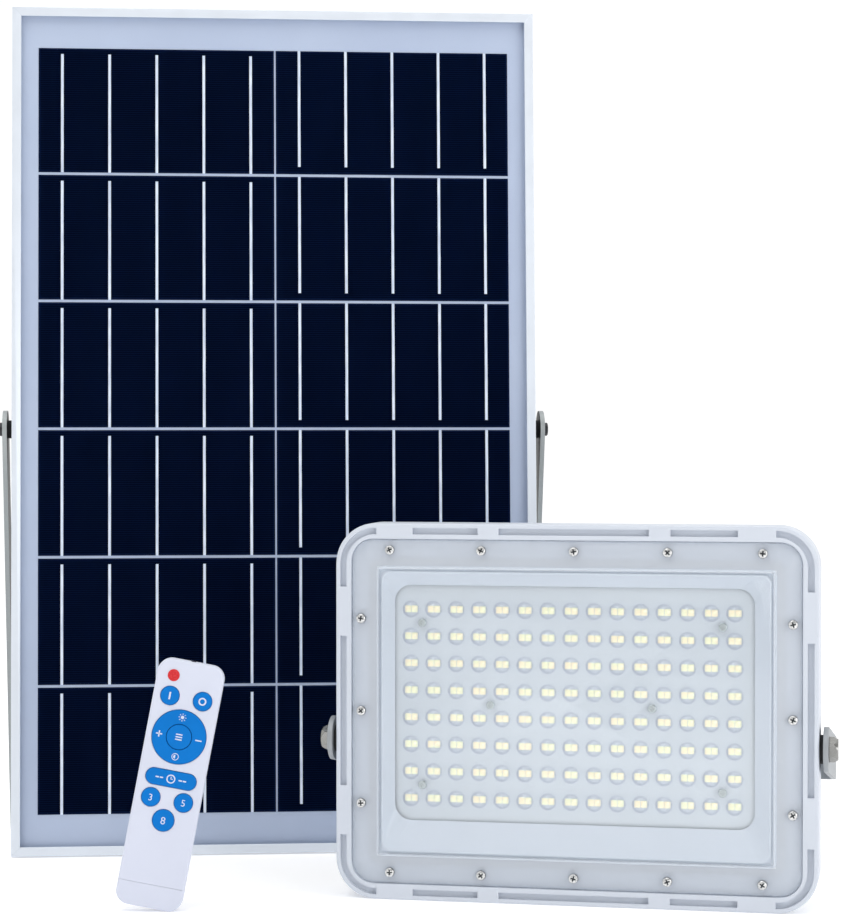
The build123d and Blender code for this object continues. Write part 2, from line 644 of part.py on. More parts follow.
def lamp_led_chips():
    """Two chips under every bubble."""
    chips = []
    for x, z in led_places():
        for side in (-1, 1):
            middle = x + side * CHIP_SPACING / 2
            chips.append(box_between(middle - CHIP_WIDTH / 2, middle + CHIP_WIDTH / 2,
                                     BOARD_FRONT - CHIP_THICK, BOARD_FRONT,
                                     z - CHIP_HEIGHT / 2, z + CHIP_HEIGHT / 2))
    return group(chips)


def lamp_led_board():
    """Aluminium board that carries the chips."""
    sketch = Pos(*TRAY_CENTRE) * RectangleRounded(TRAY_FLOOR[0] + 8, TRAY_FLOOR[1] + 6, 3)
    for x, z in lens_screw_places():
        sketch -= Pos(x, z) * Circle(1.7)
    return slab(sketch, BOARD_FRONT, BOARD_BACK)


def lamp_lens_screws():
    """Six small screws through the lens plate and the board."""
    screw = pan_screw(2.5, 1.4, 1.3, LENS_BACK - LENS_FRONT + BOARD_THICK + 8)
    return group(Pos(x, LENS_FRONT, z) * screw for x, z in lens_screw_places())


def lamp_batteries():
    """Three cells side by side, standing between the board's posts."""
    cells_made = []
    middle = TUB_BACK_INSIDE - 1.6 - CELL_26650_RADIUS
    for index in range(BATTERY_COUNT):
        x = LED_CENTRE[0] + (index - (BATTERY_COUNT - 1) / 2) * (2 * CELL_26650_RADIUS + 0.2)
        half = CELL_26650_LENGTH / 2
        cell = rod_z(CELL_26650_RADIUS, -half, half, x, middle)
        cell += rod_z(4.0, half, half + 1.2, x, middle)
        cells_made.append(cell)
    return group(cells_made)


def lamp_battery_cradle():
    """Plastic cradle under the cells."""
    half_width = BATTERY_COUNT * CELL_26650_RADIUS + 1.0
    half_height = CELL_26650_LENGTH / 2 + 3.5
    x = LED_CENTRE[0]
    back = TUB_BACK_INSIDE
    cradle = box_between(x - half_width, x + half_width, back - 1.4, back,
                         -half_height, half_height)
    for side in (-1, 1):
        zs = sorted((side * half_height, side * (half_height - 2)))
        cradle += box_between(x - half_width, x + half_width, back - 16, back - 1.4, *zs)
    return cradle


def lamp_controller_board():
    """Charge and timer board on two posts."""
    width, height = CONTROLLER_SIZE
    x = CONTROLLER_X
    return box_between(x - width / 2, x + width / 2, CONTROLLER_FRONT,
                       CONTROLLER_FRONT + BOARD_THICK, -height / 2, height / 2)


def lamp_controller_parts():
    """Coil, capacitors, chips and the terminal block on the board."""
    x = CONTROLLER_X
    front = CONTROLLER_FRONT
    parts = [
        box_between(x - 6, x + 6, front - 7, front, -40, -28),
        box_between(x - 4, x + 4, front - 1.6, front, -6, 4),
        box_between(x - 11, x - 5, front - 2.4, front, -20, -12),
        box_between(x - 9, x + 9, front - 9, front, 30, 42),
        post(5.0, x + 6, 18, front - 12, front),
        post(4.0, x - 7, 18, front - 10, front),
    ]
    return group(parts)


def lamp_remote_receiver():
    """Small board with the infrared receiver behind the tray's lower wall."""
    x, z = RECEIVER_AT
    board = box_between(x - 7, x + 7, 11.8, 13.0, z - 4.5, z + 4.5)
    bead = box_between(x - 2.5, x + 2.5, 9.6, 11.8, z - 3, z + 3)
    return board + bead


def lamp_cable_gland():
    """Gland in the tub's lower wall."""
    wall = -TUB_HALF_HEIGHT - TUB_WALL
    gland = rod_z(6.0, wall - 2, wall + TUB_WALL + 5, *GLAND_AT)
    gland += rod_z(9.0, wall - 3, wall, *GLAND_AT)
    gland += rod_z(8.0, wall - 16, wall - 3, *GLAND_AT)
    gland += rod_z(8.5, wall + TUB_WALL, wall + TUB_WALL + 3.5, *GLAND_AT)
    return gland - rod_z(3.0, wall - 16, wall + TUB_WALL + 5, *GLAND_AT)


LAMP_LEG_INNER = HALF_WIDTH + LAMP_WASHER_THICK + FACE_PLAY
LAMP_HEAD_SEAT = LAMP_LEG_INNER + STRIP_THICK + FACE_PLAY


def lamp_pivot_bolts():
    """Hexagon bolts that clamp the bracket's legs to the housing."""
    bolts = []
    for side in (-1, 1):
        inner = side * (TUB_HALF_WIDTH + 6)
        seat = side * LAMP_HEAD_SEAT
        tip = side * (LAMP_HEAD_SEAT + LAMP_BOLT_HEAD)
        head = hex_x(LAMP_BOLT_ACROSS_FLATS, seat, tip, LAMP_PIVOT_DEPTH, LAMP_PIVOT_HEIGHT)
        cone = Pos(tip, LAMP_PIVOT_DEPTH, LAMP_PIVOT_HEIGHT) * Rot(0, -90 * side, 0)
        chamfered = cone * Pos(0, 0, 6) * Cone(6.2, 12.2, 12)
        head = head & (chamfered + rod_x(12, seat, side * (LAMP_HEAD_SEAT + 1),
                                         LAMP_PIVOT_DEPTH, LAMP_PIVOT_HEIGHT))
        bolts.append(head + rod_x(LAMP_BOLT_RADIUS, inner, seat,
                                  LAMP_PIVOT_DEPTH, LAMP_PIVOT_HEIGHT))
    return group(bolts)


def lamp_pivot_washers():
    """Rubber washers between the housing and the legs."""
    rings = []
    for side in (-1, 1):
        ends = (side * HALF_WIDTH, side * (HALF_WIDTH + LAMP_WASHER_THICK))
        ring = rod_x(8.5, *ends, LAMP_PIVOT_DEPTH, LAMP_PIVOT_HEIGHT)
        rings.append(ring - rod_x(LAMP_BOLT_RADIUS + PIVOT_CLEARANCE, *ends,
                                  LAMP_PIVOT_DEPTH, LAMP_PIVOT_HEIGHT))
    return group(rings)


def build_lamp():
    """All nodes of the lamp head, in the lamp's own frame."""
    return {
        "lamp_housing": lamp_housing(),
        "lamp_gasket": lamp_gasket(),
        "lamp_cover": lamp_cover(),
        "lamp_cover_screws": lamp_cover_screws(),
        "lamp_tray": lamp_tray(),
        "lamp_lens_plate": lamp_lens_plate(),
        "lamp_led_chips": lamp_led_chips(),
        "lamp_led_board": lamp_led_board(),
        "lamp_lens_screws": lamp_lens_screws(),
        "lamp_batteries": lamp_batteries(),
        "lamp_battery_cradle": lamp_battery_cradle(),
        "lamp_controller_board": lamp_controller_board(),
        "lamp_controller_parts": lamp_controller_parts(),
        "lamp_remote_receiver": lamp_remote_receiver(),
        "lamp_cable_gland": lamp_cable_gland(),
        "lamp_pivot_bolts": lamp_pivot_bolts(),
        "lamp_pivot_washers": lamp_pivot_washers(),
    }


def lamp_bracket():
    """Bracket in the lamp's frame, legs pointing back and a little down."""
    bracket = u_bracket(LAMP_LEG_INNER, LAMP_STRIP_WIDTH, LAMP_BRACKET_REACH,
                        LAMP_BOLT_RADIUS, FIXING_SPACING)
    turned = Rot(90 - LAMP_BRACKET_DROP, 0, 0) * bracket
    return Pos(0, LAMP_PIVOT_DEPTH, LAMP_PIVOT_HEIGHT) * turned


# -------------------------------------------------------------------- remote
HALF_REMOTE = (REMOTE_WIDTH / 2, REMOTE_LENGTH / 2)
BOARD_FACE = 3.6
DOME_FACE = 2.8
ROUND_KEYS = {
    "remote_key_on": (-KEY_PITCH, 51.7, 5.5),
    "remote_key_off": (KEY_PITCH, 51.7, 5.5),
    "remote_key_mode": (0.0, 28.8, 7.3),
    "remote_key_short": (-KEY_PITCH, -8.7, 5.5),
    "remote_key_medium": (KEY_PITCH, -8.7, 5.5),
    "remote_key_long": (0.0, -20.9, 6.4),
}
RING_AT = (0.0, 28.8)
RING_RADIUS = 15.9
AUTO_AT = (0.0, 3.8)
AUTO_SIZE = (30.0, 9.6)
LED_AT = (-KEY_PITCH, 63.8)
LED_RADIUS = 3.5
IR_RADIUS = 1.5
IR_DEPTH = 4.5
TONGUE_HALF_WIDTH = 13.0
TONGUE_LENGTH = 30.0
TONGUE_FRONT = 5.0
TONGUE_BACK = 7.4
COIN_RADIUS = 10.0


def remote_outline(inset=0.0):
    """Rounded outline of the remote in (x, z)."""
    return rounded(HALF_REMOTE[0] - inset, HALF_REMOTE[1] - inset, REMOTE_CORNER - inset)


def above_drawer():
    """Everything above the line where the drawer's end cap starts."""
    return box_between(-REMOTE_WIDTH, REMOTE_WIDTH, -1, REMOTE_DEPTH + 1,
                       DRAWER_LINE, REMOTE_LENGTH)


def key_openings():
    """Holes in the front shell for the keys and the indicator."""
    holes = [post(radius + KEY_PLAY, x, z, 0, REMOTE_WALL)
             for name, (x, z, radius) in ROUND_KEYS.items() if name != "remote_key_mode"]
    holes.append(post(RING_RADIUS + KEY_PLAY, *RING_AT, 0, REMOTE_WALL))
    stadium = SlotOverall(AUTO_SIZE[0] + 2 * KEY_PLAY, AUTO_SIZE[1] + 2 * KEY_PLAY)
    holes.append(slab(Pos(*AUTO_AT) * stadium, 0, REMOTE_WALL))
    holes.append(post(LED_RADIUS, *LED_AT, 0, REMOTE_WALL))
    return holes


def remote_front_shell():
    """Front half of the case with the key openings."""
    shell = slab(remote_outline(), 0, REMOTE_SEAM)
    shell = fillet(shell.edges().group_by(Axis.Y)[0], 1.2)
    shell -= slab(remote_outline(REMOTE_WALL), REMOTE_WALL, REMOTE_SEAM)
    for hole in key_openings():
        shell -= hole
    shell -= rod_z(IR_RADIUS, HALF_REMOTE[1] - 3, HALF_REMOTE[1] + 1, 0, IR_DEPTH)
    return shell & above_drawer()


def remote_back_shell():
    """Back half of the case."""
    shell = slab(remote_outline(), REMOTE_SEAM, REMOTE_DEPTH)
    shell = fillet(shell.edges().group_by(Axis.Y)[-1], 2.0)
    shell -= slab(remote_outline(REMOTE_WALL), REMOTE_SEAM, REMOTE_DEPTH - REMOTE_WALL)
    shell -= rod_z(IR_RADIUS, HALF_REMOTE[1] - 3, HALF_REMOTE[1] + 1, 0, IR_DEPTH)
    return shell & above_drawer()


def remote_board():
    """Circuit board behind the keys."""
    return slab(Pos(0, 16) * RectangleRounded(34, 96, 3), BOARD_FACE, BOARD_FACE + 1.0)


def remote_contact_domes():
    """Snap domes under the keys."""
    places = [(x, z) for x, z, _ in ROUND_KEYS.values()]
    places += [(RING_AT[0] + dx * 11.8, RING_AT[1] + dz * 11.8)
               for dx, dz in ((-1, 0), (1, 0), (0, -1), (0, 1))]
    places.append(AUTO_AT)
    return group(post(2.6, x, z, DOME_FACE, BOARD_FACE) for x, z in places)


def remote_indicator():
    """Red indicator lens that reaches back to the board."""
    lens = post(LED_RADIUS, *LED_AT, -0.3, REMOTE_WALL)
    return lens + post(1.5, *LED_AT, REMOTE_WALL, BOARD_FACE)


def remote_infrared_led():
    """Infrared emitter in the top edge."""
    top = HALF_REMOTE[1]
    return rod_z(IR_RADIUS, top - 7, top + 0.4, 0, IR_DEPTH)


def key_cap(outline, lip_outline):
    """Key with a retaining lip behind the front wall."""
    cap = slab(outline, -KEY_PROUD, REMOTE_WALL + 0.1)
    cap = fillet(cap.edges().group_by(Axis.Y)[0], 0.4)
    return cap + slab(lip_outline, REMOTE_WALL + 0.1, REMOTE_WALL + 0.8)


def round_key(x, z, radius):
    """Round key."""
    place = Pos(x, z)
    return key_cap(place * Circle(radius), place * Circle(radius + KEY_LIP))


def mode_key(x, z, radius):
    """Centre key of the ring, without a lip."""
    cap = post(radius, x, z, -KEY_PROUD, REMOTE_WALL + 0.8)
    return fillet(cap.edges().group_by(Axis.Y)[0], 0.4)


def ring_key():
    """Ring round the centre key."""
    place = Pos(*RING_AT)
    hole = Circle(ROUND_KEYS["remote_key_mode"][2] + KEY_PLAY)
    return key_cap(place * (Circle(RING_RADIUS) - hole),
                   place * (Circle(RING_RADIUS + KEY_LIP) - hole))


def auto_key():
    """Wide key with round ends."""
    place = Pos(*AUTO_AT)
    lip = SlotOverall(AUTO_SIZE[0] + 2 * KEY_LIP, AUTO_SIZE[1] + 2 * KEY_LIP)
    return key_cap(place * SlotOverall(*AUTO_SIZE), place * lip)


def remote_drawer():
    """Battery drawer: the lower end of the case with a tongue that holds the cell."""
    play = 0.15
    cap = slab(remote_outline(), 0, REMOTE_DEPTH)
    cap = fillet(cap.edges().group_by(Axis.Y)[0], 1.2)
    cap = cap & box_between(-REMOTE_WIDTH, REMOTE_WIDTH, -1, REMOTE_DEPTH + 1,
                            -REMOTE_LENGTH, DRAWER_LINE - play)
    tongue = box_between(-TONGUE_HALF_WIDTH, TONGUE_HALF_WIDTH, TONGUE_FRONT, TONGUE_BACK,
                         DRAWER_LINE - play, DRAWER_LINE + TONGUE_LENGTH)
    coin_z = DRAWER_LINE + TONGUE_LENGTH - COIN_RADIUS - 2
    pocket = post(COIN_RADIUS + 0.2, 0, coin_z, TONGUE_FRONT, TONGUE_BACK - 0.6)
    return cap + tongue - pocket


def remote_coin_cell():
    """Flat cell in the drawer."""
    coin_z = DRAWER_LINE + TONGUE_LENGTH - COIN_RADIUS - 2
    return post(COIN_RADIUS, 0, coin_z, TONGUE_FRONT + 0.1, TONGUE_BACK - 0.6)


def build_remote():
    """All nodes of the remote, in its own frame."""
    nodes = {
        "remote_front_shell": remote_front_shell(),
        "remote_back_shell": remote_back_shell(),
        "remote_board": remote_board(),
        "remote_contact_domes": remote_contact_domes(),
        "remote_indicator": remote_indicator(),
        "remote_infrared_led": remote_infrared_led(),
        "remote_key_ring": ring_key(),
        "remote_key_auto": auto_key(),
        "remote_drawer": remote_drawer(),
        "remote_coin_cell": remote_coin_cell(),
    }
    for name, (x, z, radius) in ROUND_KEYS.items():
        maker = mode_key if name == "remote_key_mode" else round_key
        nodes[name] = maker(x, z, radius)
    return nodes


# --------------------------------------------------------------- placing it all
lean_lift = PANEL_DEPTH * math.sin(math.radians(PANEL_LEAN))
PANEL_PLACE = Pos(0, 0, lean_lift) * Rot(-PANEL_LEAN, 0, 0)
LAMP_PLACE = Pos(*LAMP_AT, HALF_HEIGHT) * Rot(0, 0, LAMP_YAW)
REMOTE_PLACE = Pos(*REMOTE_AT, REMOTE_HEIGHT) * Rot(0, 0, REMOTE_YAW) * Rot(0, REMOTE_ROLL, 0)

placed = {name: PANEL_PLACE * shape for name, shape in build_panel().items()}
placed["panel_bracket"] = PANEL_PLACE * panel_bracket()
placed.update({name: LAMP_PLACE * shape for name, shape in build_lamp().items()})
placed["lamp_bracket"] = LAMP_PLACE * lamp_bracket()
placed.update({name: REMOTE_PLACE * shape for name, shape in build_remote().items()})

# The kit's origin is the middle of its footprint, on the floor.
boxes = [shape.bounding_box() for shape in placed.values()]
middle_x = (min(b.min.X for b in boxes) + max(b.max.X for b in boxes)) / 2
middle_y = (min(b.min.Y for b in boxes) + max(b.max.Y for b in boxes)) / 2
KIT_PLACE = Pos(-middle_x, -middle_y, -min(b.min.Z for b in boxes))

for name, shape in placed.items():
    export_step(KIT_PLACE * shape, f"parts/{name}.step")
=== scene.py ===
"""Looks of a solar flood light kit: a framed solar panel, a flood lamp and a remote control.

Every length in the tables is in millimetres, in the local frame of the panel, lamp or remote:
x to the right, y to the back, z up, with the front face at y = 0.
"""
import json
import math

import bmesh
import bpy
from mathutils import Matrix, Vector


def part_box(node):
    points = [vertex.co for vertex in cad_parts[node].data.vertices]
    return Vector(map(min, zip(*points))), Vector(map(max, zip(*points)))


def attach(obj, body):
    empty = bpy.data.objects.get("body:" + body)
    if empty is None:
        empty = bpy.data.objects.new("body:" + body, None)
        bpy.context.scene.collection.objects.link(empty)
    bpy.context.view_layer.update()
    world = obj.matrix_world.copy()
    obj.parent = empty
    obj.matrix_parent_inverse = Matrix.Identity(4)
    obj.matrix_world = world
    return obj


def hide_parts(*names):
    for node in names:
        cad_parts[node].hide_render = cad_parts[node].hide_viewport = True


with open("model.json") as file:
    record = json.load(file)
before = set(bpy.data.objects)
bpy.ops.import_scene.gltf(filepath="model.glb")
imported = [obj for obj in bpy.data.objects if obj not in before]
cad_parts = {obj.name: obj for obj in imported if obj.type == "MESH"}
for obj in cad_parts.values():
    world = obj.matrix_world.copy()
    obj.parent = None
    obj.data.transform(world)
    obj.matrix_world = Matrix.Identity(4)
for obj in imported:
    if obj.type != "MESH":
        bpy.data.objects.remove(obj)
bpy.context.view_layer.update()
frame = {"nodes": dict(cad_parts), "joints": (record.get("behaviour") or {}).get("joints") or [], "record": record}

MM = 0.001
TO_METRES = Matrix.Scale(MM, 4)
JOINTS = {joint["name"]: joint for joint in frame["joints"]}
NODE_SLOTS = {part["node"]: part["material_slot"] for part in frame["record"]["subparts"]}

# ------------------------------------------------------------------ local frames
PANEL_LEAN = 3.56            # degrees back from upright
PANEL_PIVOT = (0.0, 11.45, 282.0)
LAMP_PIVOT = (0.0, 11.5, -17.7)
REMOTE_DEPTH = 9.0


def axes(x_axis, y_axis, z_axis):
    """Rotation whose columns are the three axes."""
    return Matrix((x_axis, y_axis, z_axis)).transposed().to_4x4()


def panel_place():
    """The panel's frame, from its hinge."""
    lean = Matrix.Rotation(-math.radians(PANEL_LEAN), 4, "X")
    pivot = Matrix.Translation(JOINTS["panel_tilt"]["pos_m"])
    return pivot @ lean @ TO_METRES @ Matrix.Translation([-v for v in PANEL_PIVOT])


def lamp_place():
    """The lamp's frame, from its hinge."""
    x_axis = Vector(JOINTS["lamp_tilt"]["axis"])
    z_axis = Vector((0.0, 0.0, 1.0))
    turn = axes(x_axis, z_axis.cross(x_axis), z_axis)
    pivot = Matrix.Translation(JOINTS["lamp_tilt"]["pos_m"])
    return pivot @ turn @ TO_METRES @ Matrix.Translation([-v for v in LAMP_PIVOT])


def remote_place():
    """The remote's frame, from the way its keys and its drawer slide."""
    corners = [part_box(node) for node in ("remote_front_shell", "remote_back_shell", "remote_drawer")]
    low = Vector([min(box[0][i] for box in corners) for i in range(3)])
    high = Vector([max(box[1][i] for box in corners) for i in range(3)])
    y_axis = Vector(JOINTS["press_on"]["axis"])
    z_axis = -Vector(JOINTS["drawer_slide"]["axis"])
    turn = axes(y_axis.cross(z_axis), y_axis, z_axis)
    middle = Matrix.Translation((low + high) / 2)
    return middle @ turn @ TO_METRES @ Matrix.Translation((0.0, -REMOTE_DEPTH / 2, 0.0))


PANEL = panel_place()
LAMP = lamp_place()
REMOTE = remote_place()

# -------------------------------------------------------------- lamp front sizes
LED_PITCH = (13.87, 16.27)
LED_COUNT = (15, 8)
LED_CENTRE = (-2.6, 4.2)
TRAY_CENTRE = (-1.6, 4.8)
TRAY_FLOOR = (215.8, 141.8)
LENS_FRONT = 9.0
LENS_BACK = 10.6
LENS_RADIUS = 5.3
LENS_RISE = 3.4
LENS_WALL = 0.45
SCREW_FRONT = 0.2            # front of the cover screws' heads
SCREW_SEAT = 2.0
SCREW_RADIUS = 2.85
CHIP_SIZE = (3.9, 4.3)
CHIP_THICK = 0.7
CHIP_SPACING = 3.98


# --------------------------------------------------------------------- materials
class Finish:
    """A procedural material: a Principled shader and the nodes that feed it."""

    def __init__(self, name, place=None):
        self.material = bpy.data.materials.new(name)
        self.material.use_nodes = True
        self.tree = self.material.node_tree
        self.shader = self.tree.nodes["Principled BSDF"]
        self.output = self.tree.nodes["Material Output"]
        coordinates = self.tree.nodes.new("ShaderNodeTexCoord")
        self.where = coordinates.outputs["Object"]
        if place is not None:
            self.where = self.into_local(place)

    def into_local(self, place):
        """Row coordinates in metres turned into the millimetres of a local frame."""
        inverse = place.inverted()
        location, turn, scale = inverse.decompose()
        mapping = self.add("ShaderNodeMapping", Vector=self.where)
        mapping.inputs["Location"].default_value = location
        mapping.inputs["Rotation"].default_value = turn.to_euler()
        mapping.inputs["Scale"].default_value = scale
        return mapping.outputs["Vector"]

    def feed(self, socket, value):
        """Set a socket, or link it when the value is another socket."""
        if isinstance(value, bpy.types.NodeSocket):
            self.tree.links.new(value, socket)
        elif hasattr(value, "__len__") and socket.type == "RGBA" and len(value) == 3:
            socket.default_value = (*value, 1.0)
        else:
            socket.default_value = value

    def add(self, kind, **inputs):
        """New node with its named inputs set; underscores in names stand for spaces."""
        node = self.tree.nodes.new(kind)
        for name, value in inputs.items():
            self.feed(node.inputs[name.replace("_", " ")], value)
        return node

    def set(self, **inputs):
        """Set inputs of the Principled shader."""
        for name, value in inputs.items():
            self.feed(self.shader.inputs[name.replace("_", " ")], value)

    def maths(self, operation, *values):
        """Math node."""
        node = self.tree.nodes.new("ShaderNodeMath")
        node.operation = operation
        for index, value in enumerate(values):
            self.feed(node.inputs[index], value)
        return node.outputs["Value"]

    def split(self):
        """The three local coordinates."""
        node = self.add("ShaderNodeSeparateXYZ", Vector=self.where)
        return node.outputs["X"], node.outputs["Y"], node.outputs["Z"]

    def stretched(self, stretch):
        """Coordinates scaled differently along each axis."""
        mapping = self.add("ShaderNodeMapping", Vector=self.where)
        mapping.inputs["Scale"].default_value = stretch
        return mapping.outputs["Vector"]

    def noise(self, scale, detail=3.0, roughness=0.55, stretch=None):
        """Noise from 0 to 1."""
        where = self.where if stretch is None else self.stretched(stretch)
        node = self.add("ShaderNodeTexNoise", Vector=where, Scale=scale, Detail=detail, Roughness=roughness)
        return node.outputs["Fac"]

    def ramp(self, value, low, high, to_low=0.0, to_high=1.0):
        """Map a value from one range to another, clamped."""
        node = self.add("ShaderNodeMapRange", Value=value, From_Min=low, From_Max=high, To_Min=to_low,
                        To_Max=to_high)
        return node.outputs["Result"]

    def blend(self, factor, first, second):
        """Mix of two colours."""
        node = self.tree.nodes.new("ShaderNodeMix")
        node.data_type = "RGBA"
        self.feed(node.inputs["Factor"], factor)
        self.feed(node.inputs[6], first)
        self.feed(node.inputs[7], second)
        return node.outputs[2]

    def bump(self, height, strength, distance_mm):
        """Bump from a height, kept in the shader's normal."""
        node = self.add("ShaderNodeBump", Height=height, Strength=strength, Distance=distance_mm * MM)
        self.feed(self.shader.inputs["Normal"], node.outputs["Normal"])

    def surface(self, socket):
        """Use another shader as the surface."""
        self.feed(self.output.inputs["Surface"], socket)


def tint(colour, factor):
    """A colour made lighter or darker."""
    return tuple(min(1.0, channel * factor) for channel in colour)


def moulded(name, colour, place, roughness=0.42, spread=0.05, relief=0.02, specular=0.4):
    """Moulded plastic or rubber: fine grain, faint clouding and uneven gloss."""
    finish = Finish(name, place)
    cloud = finish.noise(0.035, detail=4.0)
    grit = finish.noise(0.9, detail=2.0)
    shade = finish.ramp(cloud, 0.3, 0.7)
    finish.set(Base_Color=finish.blend(shade, tint(colour, 1.0 - spread), colour),
               Roughness=finish.ramp(grit, 0.3, 0.7, roughness - 0.05, roughness + 0.06),
               Specular_IOR_Level=specular)
    finish.bump(grit, 0.25, relief)
    return finish.material


def metal(name, colour, place, roughness=0.3, metallic=1.0, streak=(0.02, 1.0, 1.0), streak_scale=2.0,
          relief=0.01, spread=0.08):
    """Metal with fine streaks along one axis and uneven gloss."""
    finish = Finish(name, place)
    streaks = finish.noise(streak_scale, detail=4.0, roughness=0.7, stretch=streak)
    cloud = finish.noise(0.05, detail=3.0)
    finish.set(Base_Color=finish.blend(finish.ramp(cloud, 0.3, 0.7), tint(colour, 1.0 - spread), colour),
               Metallic=metallic,
               Roughness=finish.ramp(streaks, 0.3, 0.7, roughness - 0.07, roughness + 0.08))
    finish.bump(streaks, 0.3, relief)
    return finish.material


PAINT_ROUGHNESS = (0.44, 0.56)
PAINT_METALLIC = 0.25


def powder_coat(name, colour, place):
    """Sprayed paint with a fine orange-peel relief."""
    finish = Finish(name, place)
    peel = finish.noise(0.8, detail=2.0)
    cloud = finish.noise(0.02, detail=3.0)
    finish.set(Base_Color=finish.blend(finish.ramp(cloud, 0.3, 0.7), tint(colour, 0.93), colour),
               Roughness=finish.ramp(peel, 0.3, 0.7, *PAINT_ROUGHNESS),
               Metallic=PAINT_METALLIC)
    finish.bump(peel, 0.4, 0.05)
    return finish.material


NORMAL_MIRROR = 0.04         # share of light that clear plastic or glass mirrors head on
COATED_MIRROR = 0.0          # the same for the panel's anti-glare glass

# What a cell looks like: its place in the field, its fingers and its border.
CELL_FIELD = (315.5, 510.5)
CELL_GAPS = (1.2, 1.8)
CELL_COUNT = (2, 6)
CELL_SIZE = tuple((CELL_FIELD[i] - (CELL_COUNT[i] - 1) * CELL_GAPS[i]) / CELL_COUNT[i] for i in range(2))
CELL_PITCH = tuple(CELL_SIZE[i] + CELL_GAPS[i] for i in range(2))
PANEL_HEIGHT = 564.0
CELL_LOW = (-CELL_FIELD[0] / 2, (PANEL_HEIGHT - CELL_FIELD[1]) / 2)
BORDER_FADE = (0.9, 1.5)     # where the border ends, from the edge of the cell
FINGER_PITCH = 1.45
FINGER_SHARE = 0.17
CELL_SEEDS = (11.3, 3.7)     # steps of the random pick from column to column and from row to row
CELL_DARK = (0.0003, 0.0016, 0.0090)
CELL_LIGHT = (0.0007, 0.0024, 0.0130)
CELL_ODD = (0.0004, 0.0014, 0.0080)      # what some cells lean to more than others
CELL_BORDER = (0.006, 0.013, 0.045)
CELL_FINGER = (0.009, 0.022, 0.062)


def solar_cell():
    """Dark blue silicon with fine printed fingers and a faintly lighter border."""
    finish = Finish("solar_cell", PANEL)
    x, _, z = finish.split()
    across = finish.maths("DIVIDE", finish.maths("SUBTRACT", x, CELL_LOW[0]), CELL_PITCH[0])
    up = finish.maths("DIVIDE", finish.maths("SUBTRACT", z, CELL_LOW[1]), CELL_PITCH[1])
    column = finish.maths("FLOOR", across)
    row = finish.maths("FLOOR", up)
    inside = [finish.maths("MULTIPLY", finish.maths("FRACT", value), pitch)
              for value, pitch in ((across, CELL_PITCH[0]), (up, CELL_PITCH[1]))]
    borders = [finish.maths("MINIMUM", value, finish.maths("SUBTRACT", size, value))
               for value, size in zip(inside, CELL_SIZE)]
    border = finish.ramp(finish.maths("MINIMUM", *borders), *BORDER_FADE, 1.0, 0.0)
    finger_wave = finish.maths("FRACT", finish.maths("DIVIDE", inside[1], FINGER_PITCH))
    finger = finish.maths("LESS_THAN", finger_wave, FINGER_SHARE)
    number = finish.maths("ADD", finish.maths("MULTIPLY", row, CELL_SEEDS[1]),
                          finish.maths("MULTIPLY", column, CELL_SEEDS[0]))
    pick = finish.add("ShaderNodeTexWhiteNoise")
    pick.noise_dimensions = "1D"
    finish.feed(pick.inputs["W"], number)
    grain = finish.noise(0.045, detail=5.0, stretch=(1.0, 1.0, 0.35))
    base = finish.blend(finish.ramp(grain, 0.35, 0.65), CELL_DARK, CELL_LIGHT)
    base = finish.blend(finish.ramp(pick.outputs["Value"], 0.0, 1.0, 0.0, 0.6), base, CELL_ODD)
    base = finish.blend(finish.maths("MULTIPLY", border, 0.6), base, CELL_BORDER)
    base = finish.blend(finish.maths("MULTIPLY", finger, 0.7), base, CELL_FINGER)
    finish.set(Base_Color=base,
               Roughness=finish.ramp(grain, 0.3, 0.7, 0.45, 0.6),
               Specular_IOR_Level=0.0)
    finish.bump(grain, 0.2, 0.02)
    return finish.material


def solar_ribbon():
    """Tinned copper ribbon, bright and slightly wavy."""
    finish = Finish("solar_ribbon", PANEL)
    ripple = finish.noise(0.6, detail=3.0, stretch=(1.0, 1.0, 0.15))
    tin = finish.blend(finish.ramp(ripple, 0.35, 0.65), (0.66, 0.71, 0.82), (0.86, 0.90, 0.97))
    finish.set(Base_Color=tin,
               Roughness=finish.ramp(ripple, 0.3, 0.7, 0.3, 0.45),
               Metallic=0.15)
    finish.bump(ripple, 0.3, 0.03)
    return finish.material


SHEET_REAR = (5.3, 5.5)      # depth at which the front of the sheet turns into its rear
SHEET_FRONT_COLOURS = ((0.475, 0.53, 0.66), (0.52, 0.575, 0.70))
SHEET_REAR_COLOUR = (0.60, 0.60, 0.60)


def backsheet():
    """White laminate behind the cells, tinted by the glass."""
    finish = Finish("backsheet", PANEL)
    _, depth, _ = finish.split()
    weave = finish.noise(0.9, detail=3.0)
    cloud = finish.noise(0.008, detail=3.0)
    cool = finish.blend(finish.ramp(cloud, 0.3, 0.7), *SHEET_FRONT_COLOURS)
    rear = finish.ramp(depth, *SHEET_REAR)
    finish.set(Base_Color=finish.blend(rear, cool, SHEET_REAR_COLOUR),
               Roughness=finish.ramp(weave, 0.3, 0.7, 0.5, 0.62))
    finish.bump(weave, 0.3, 0.03)
    return finish.material


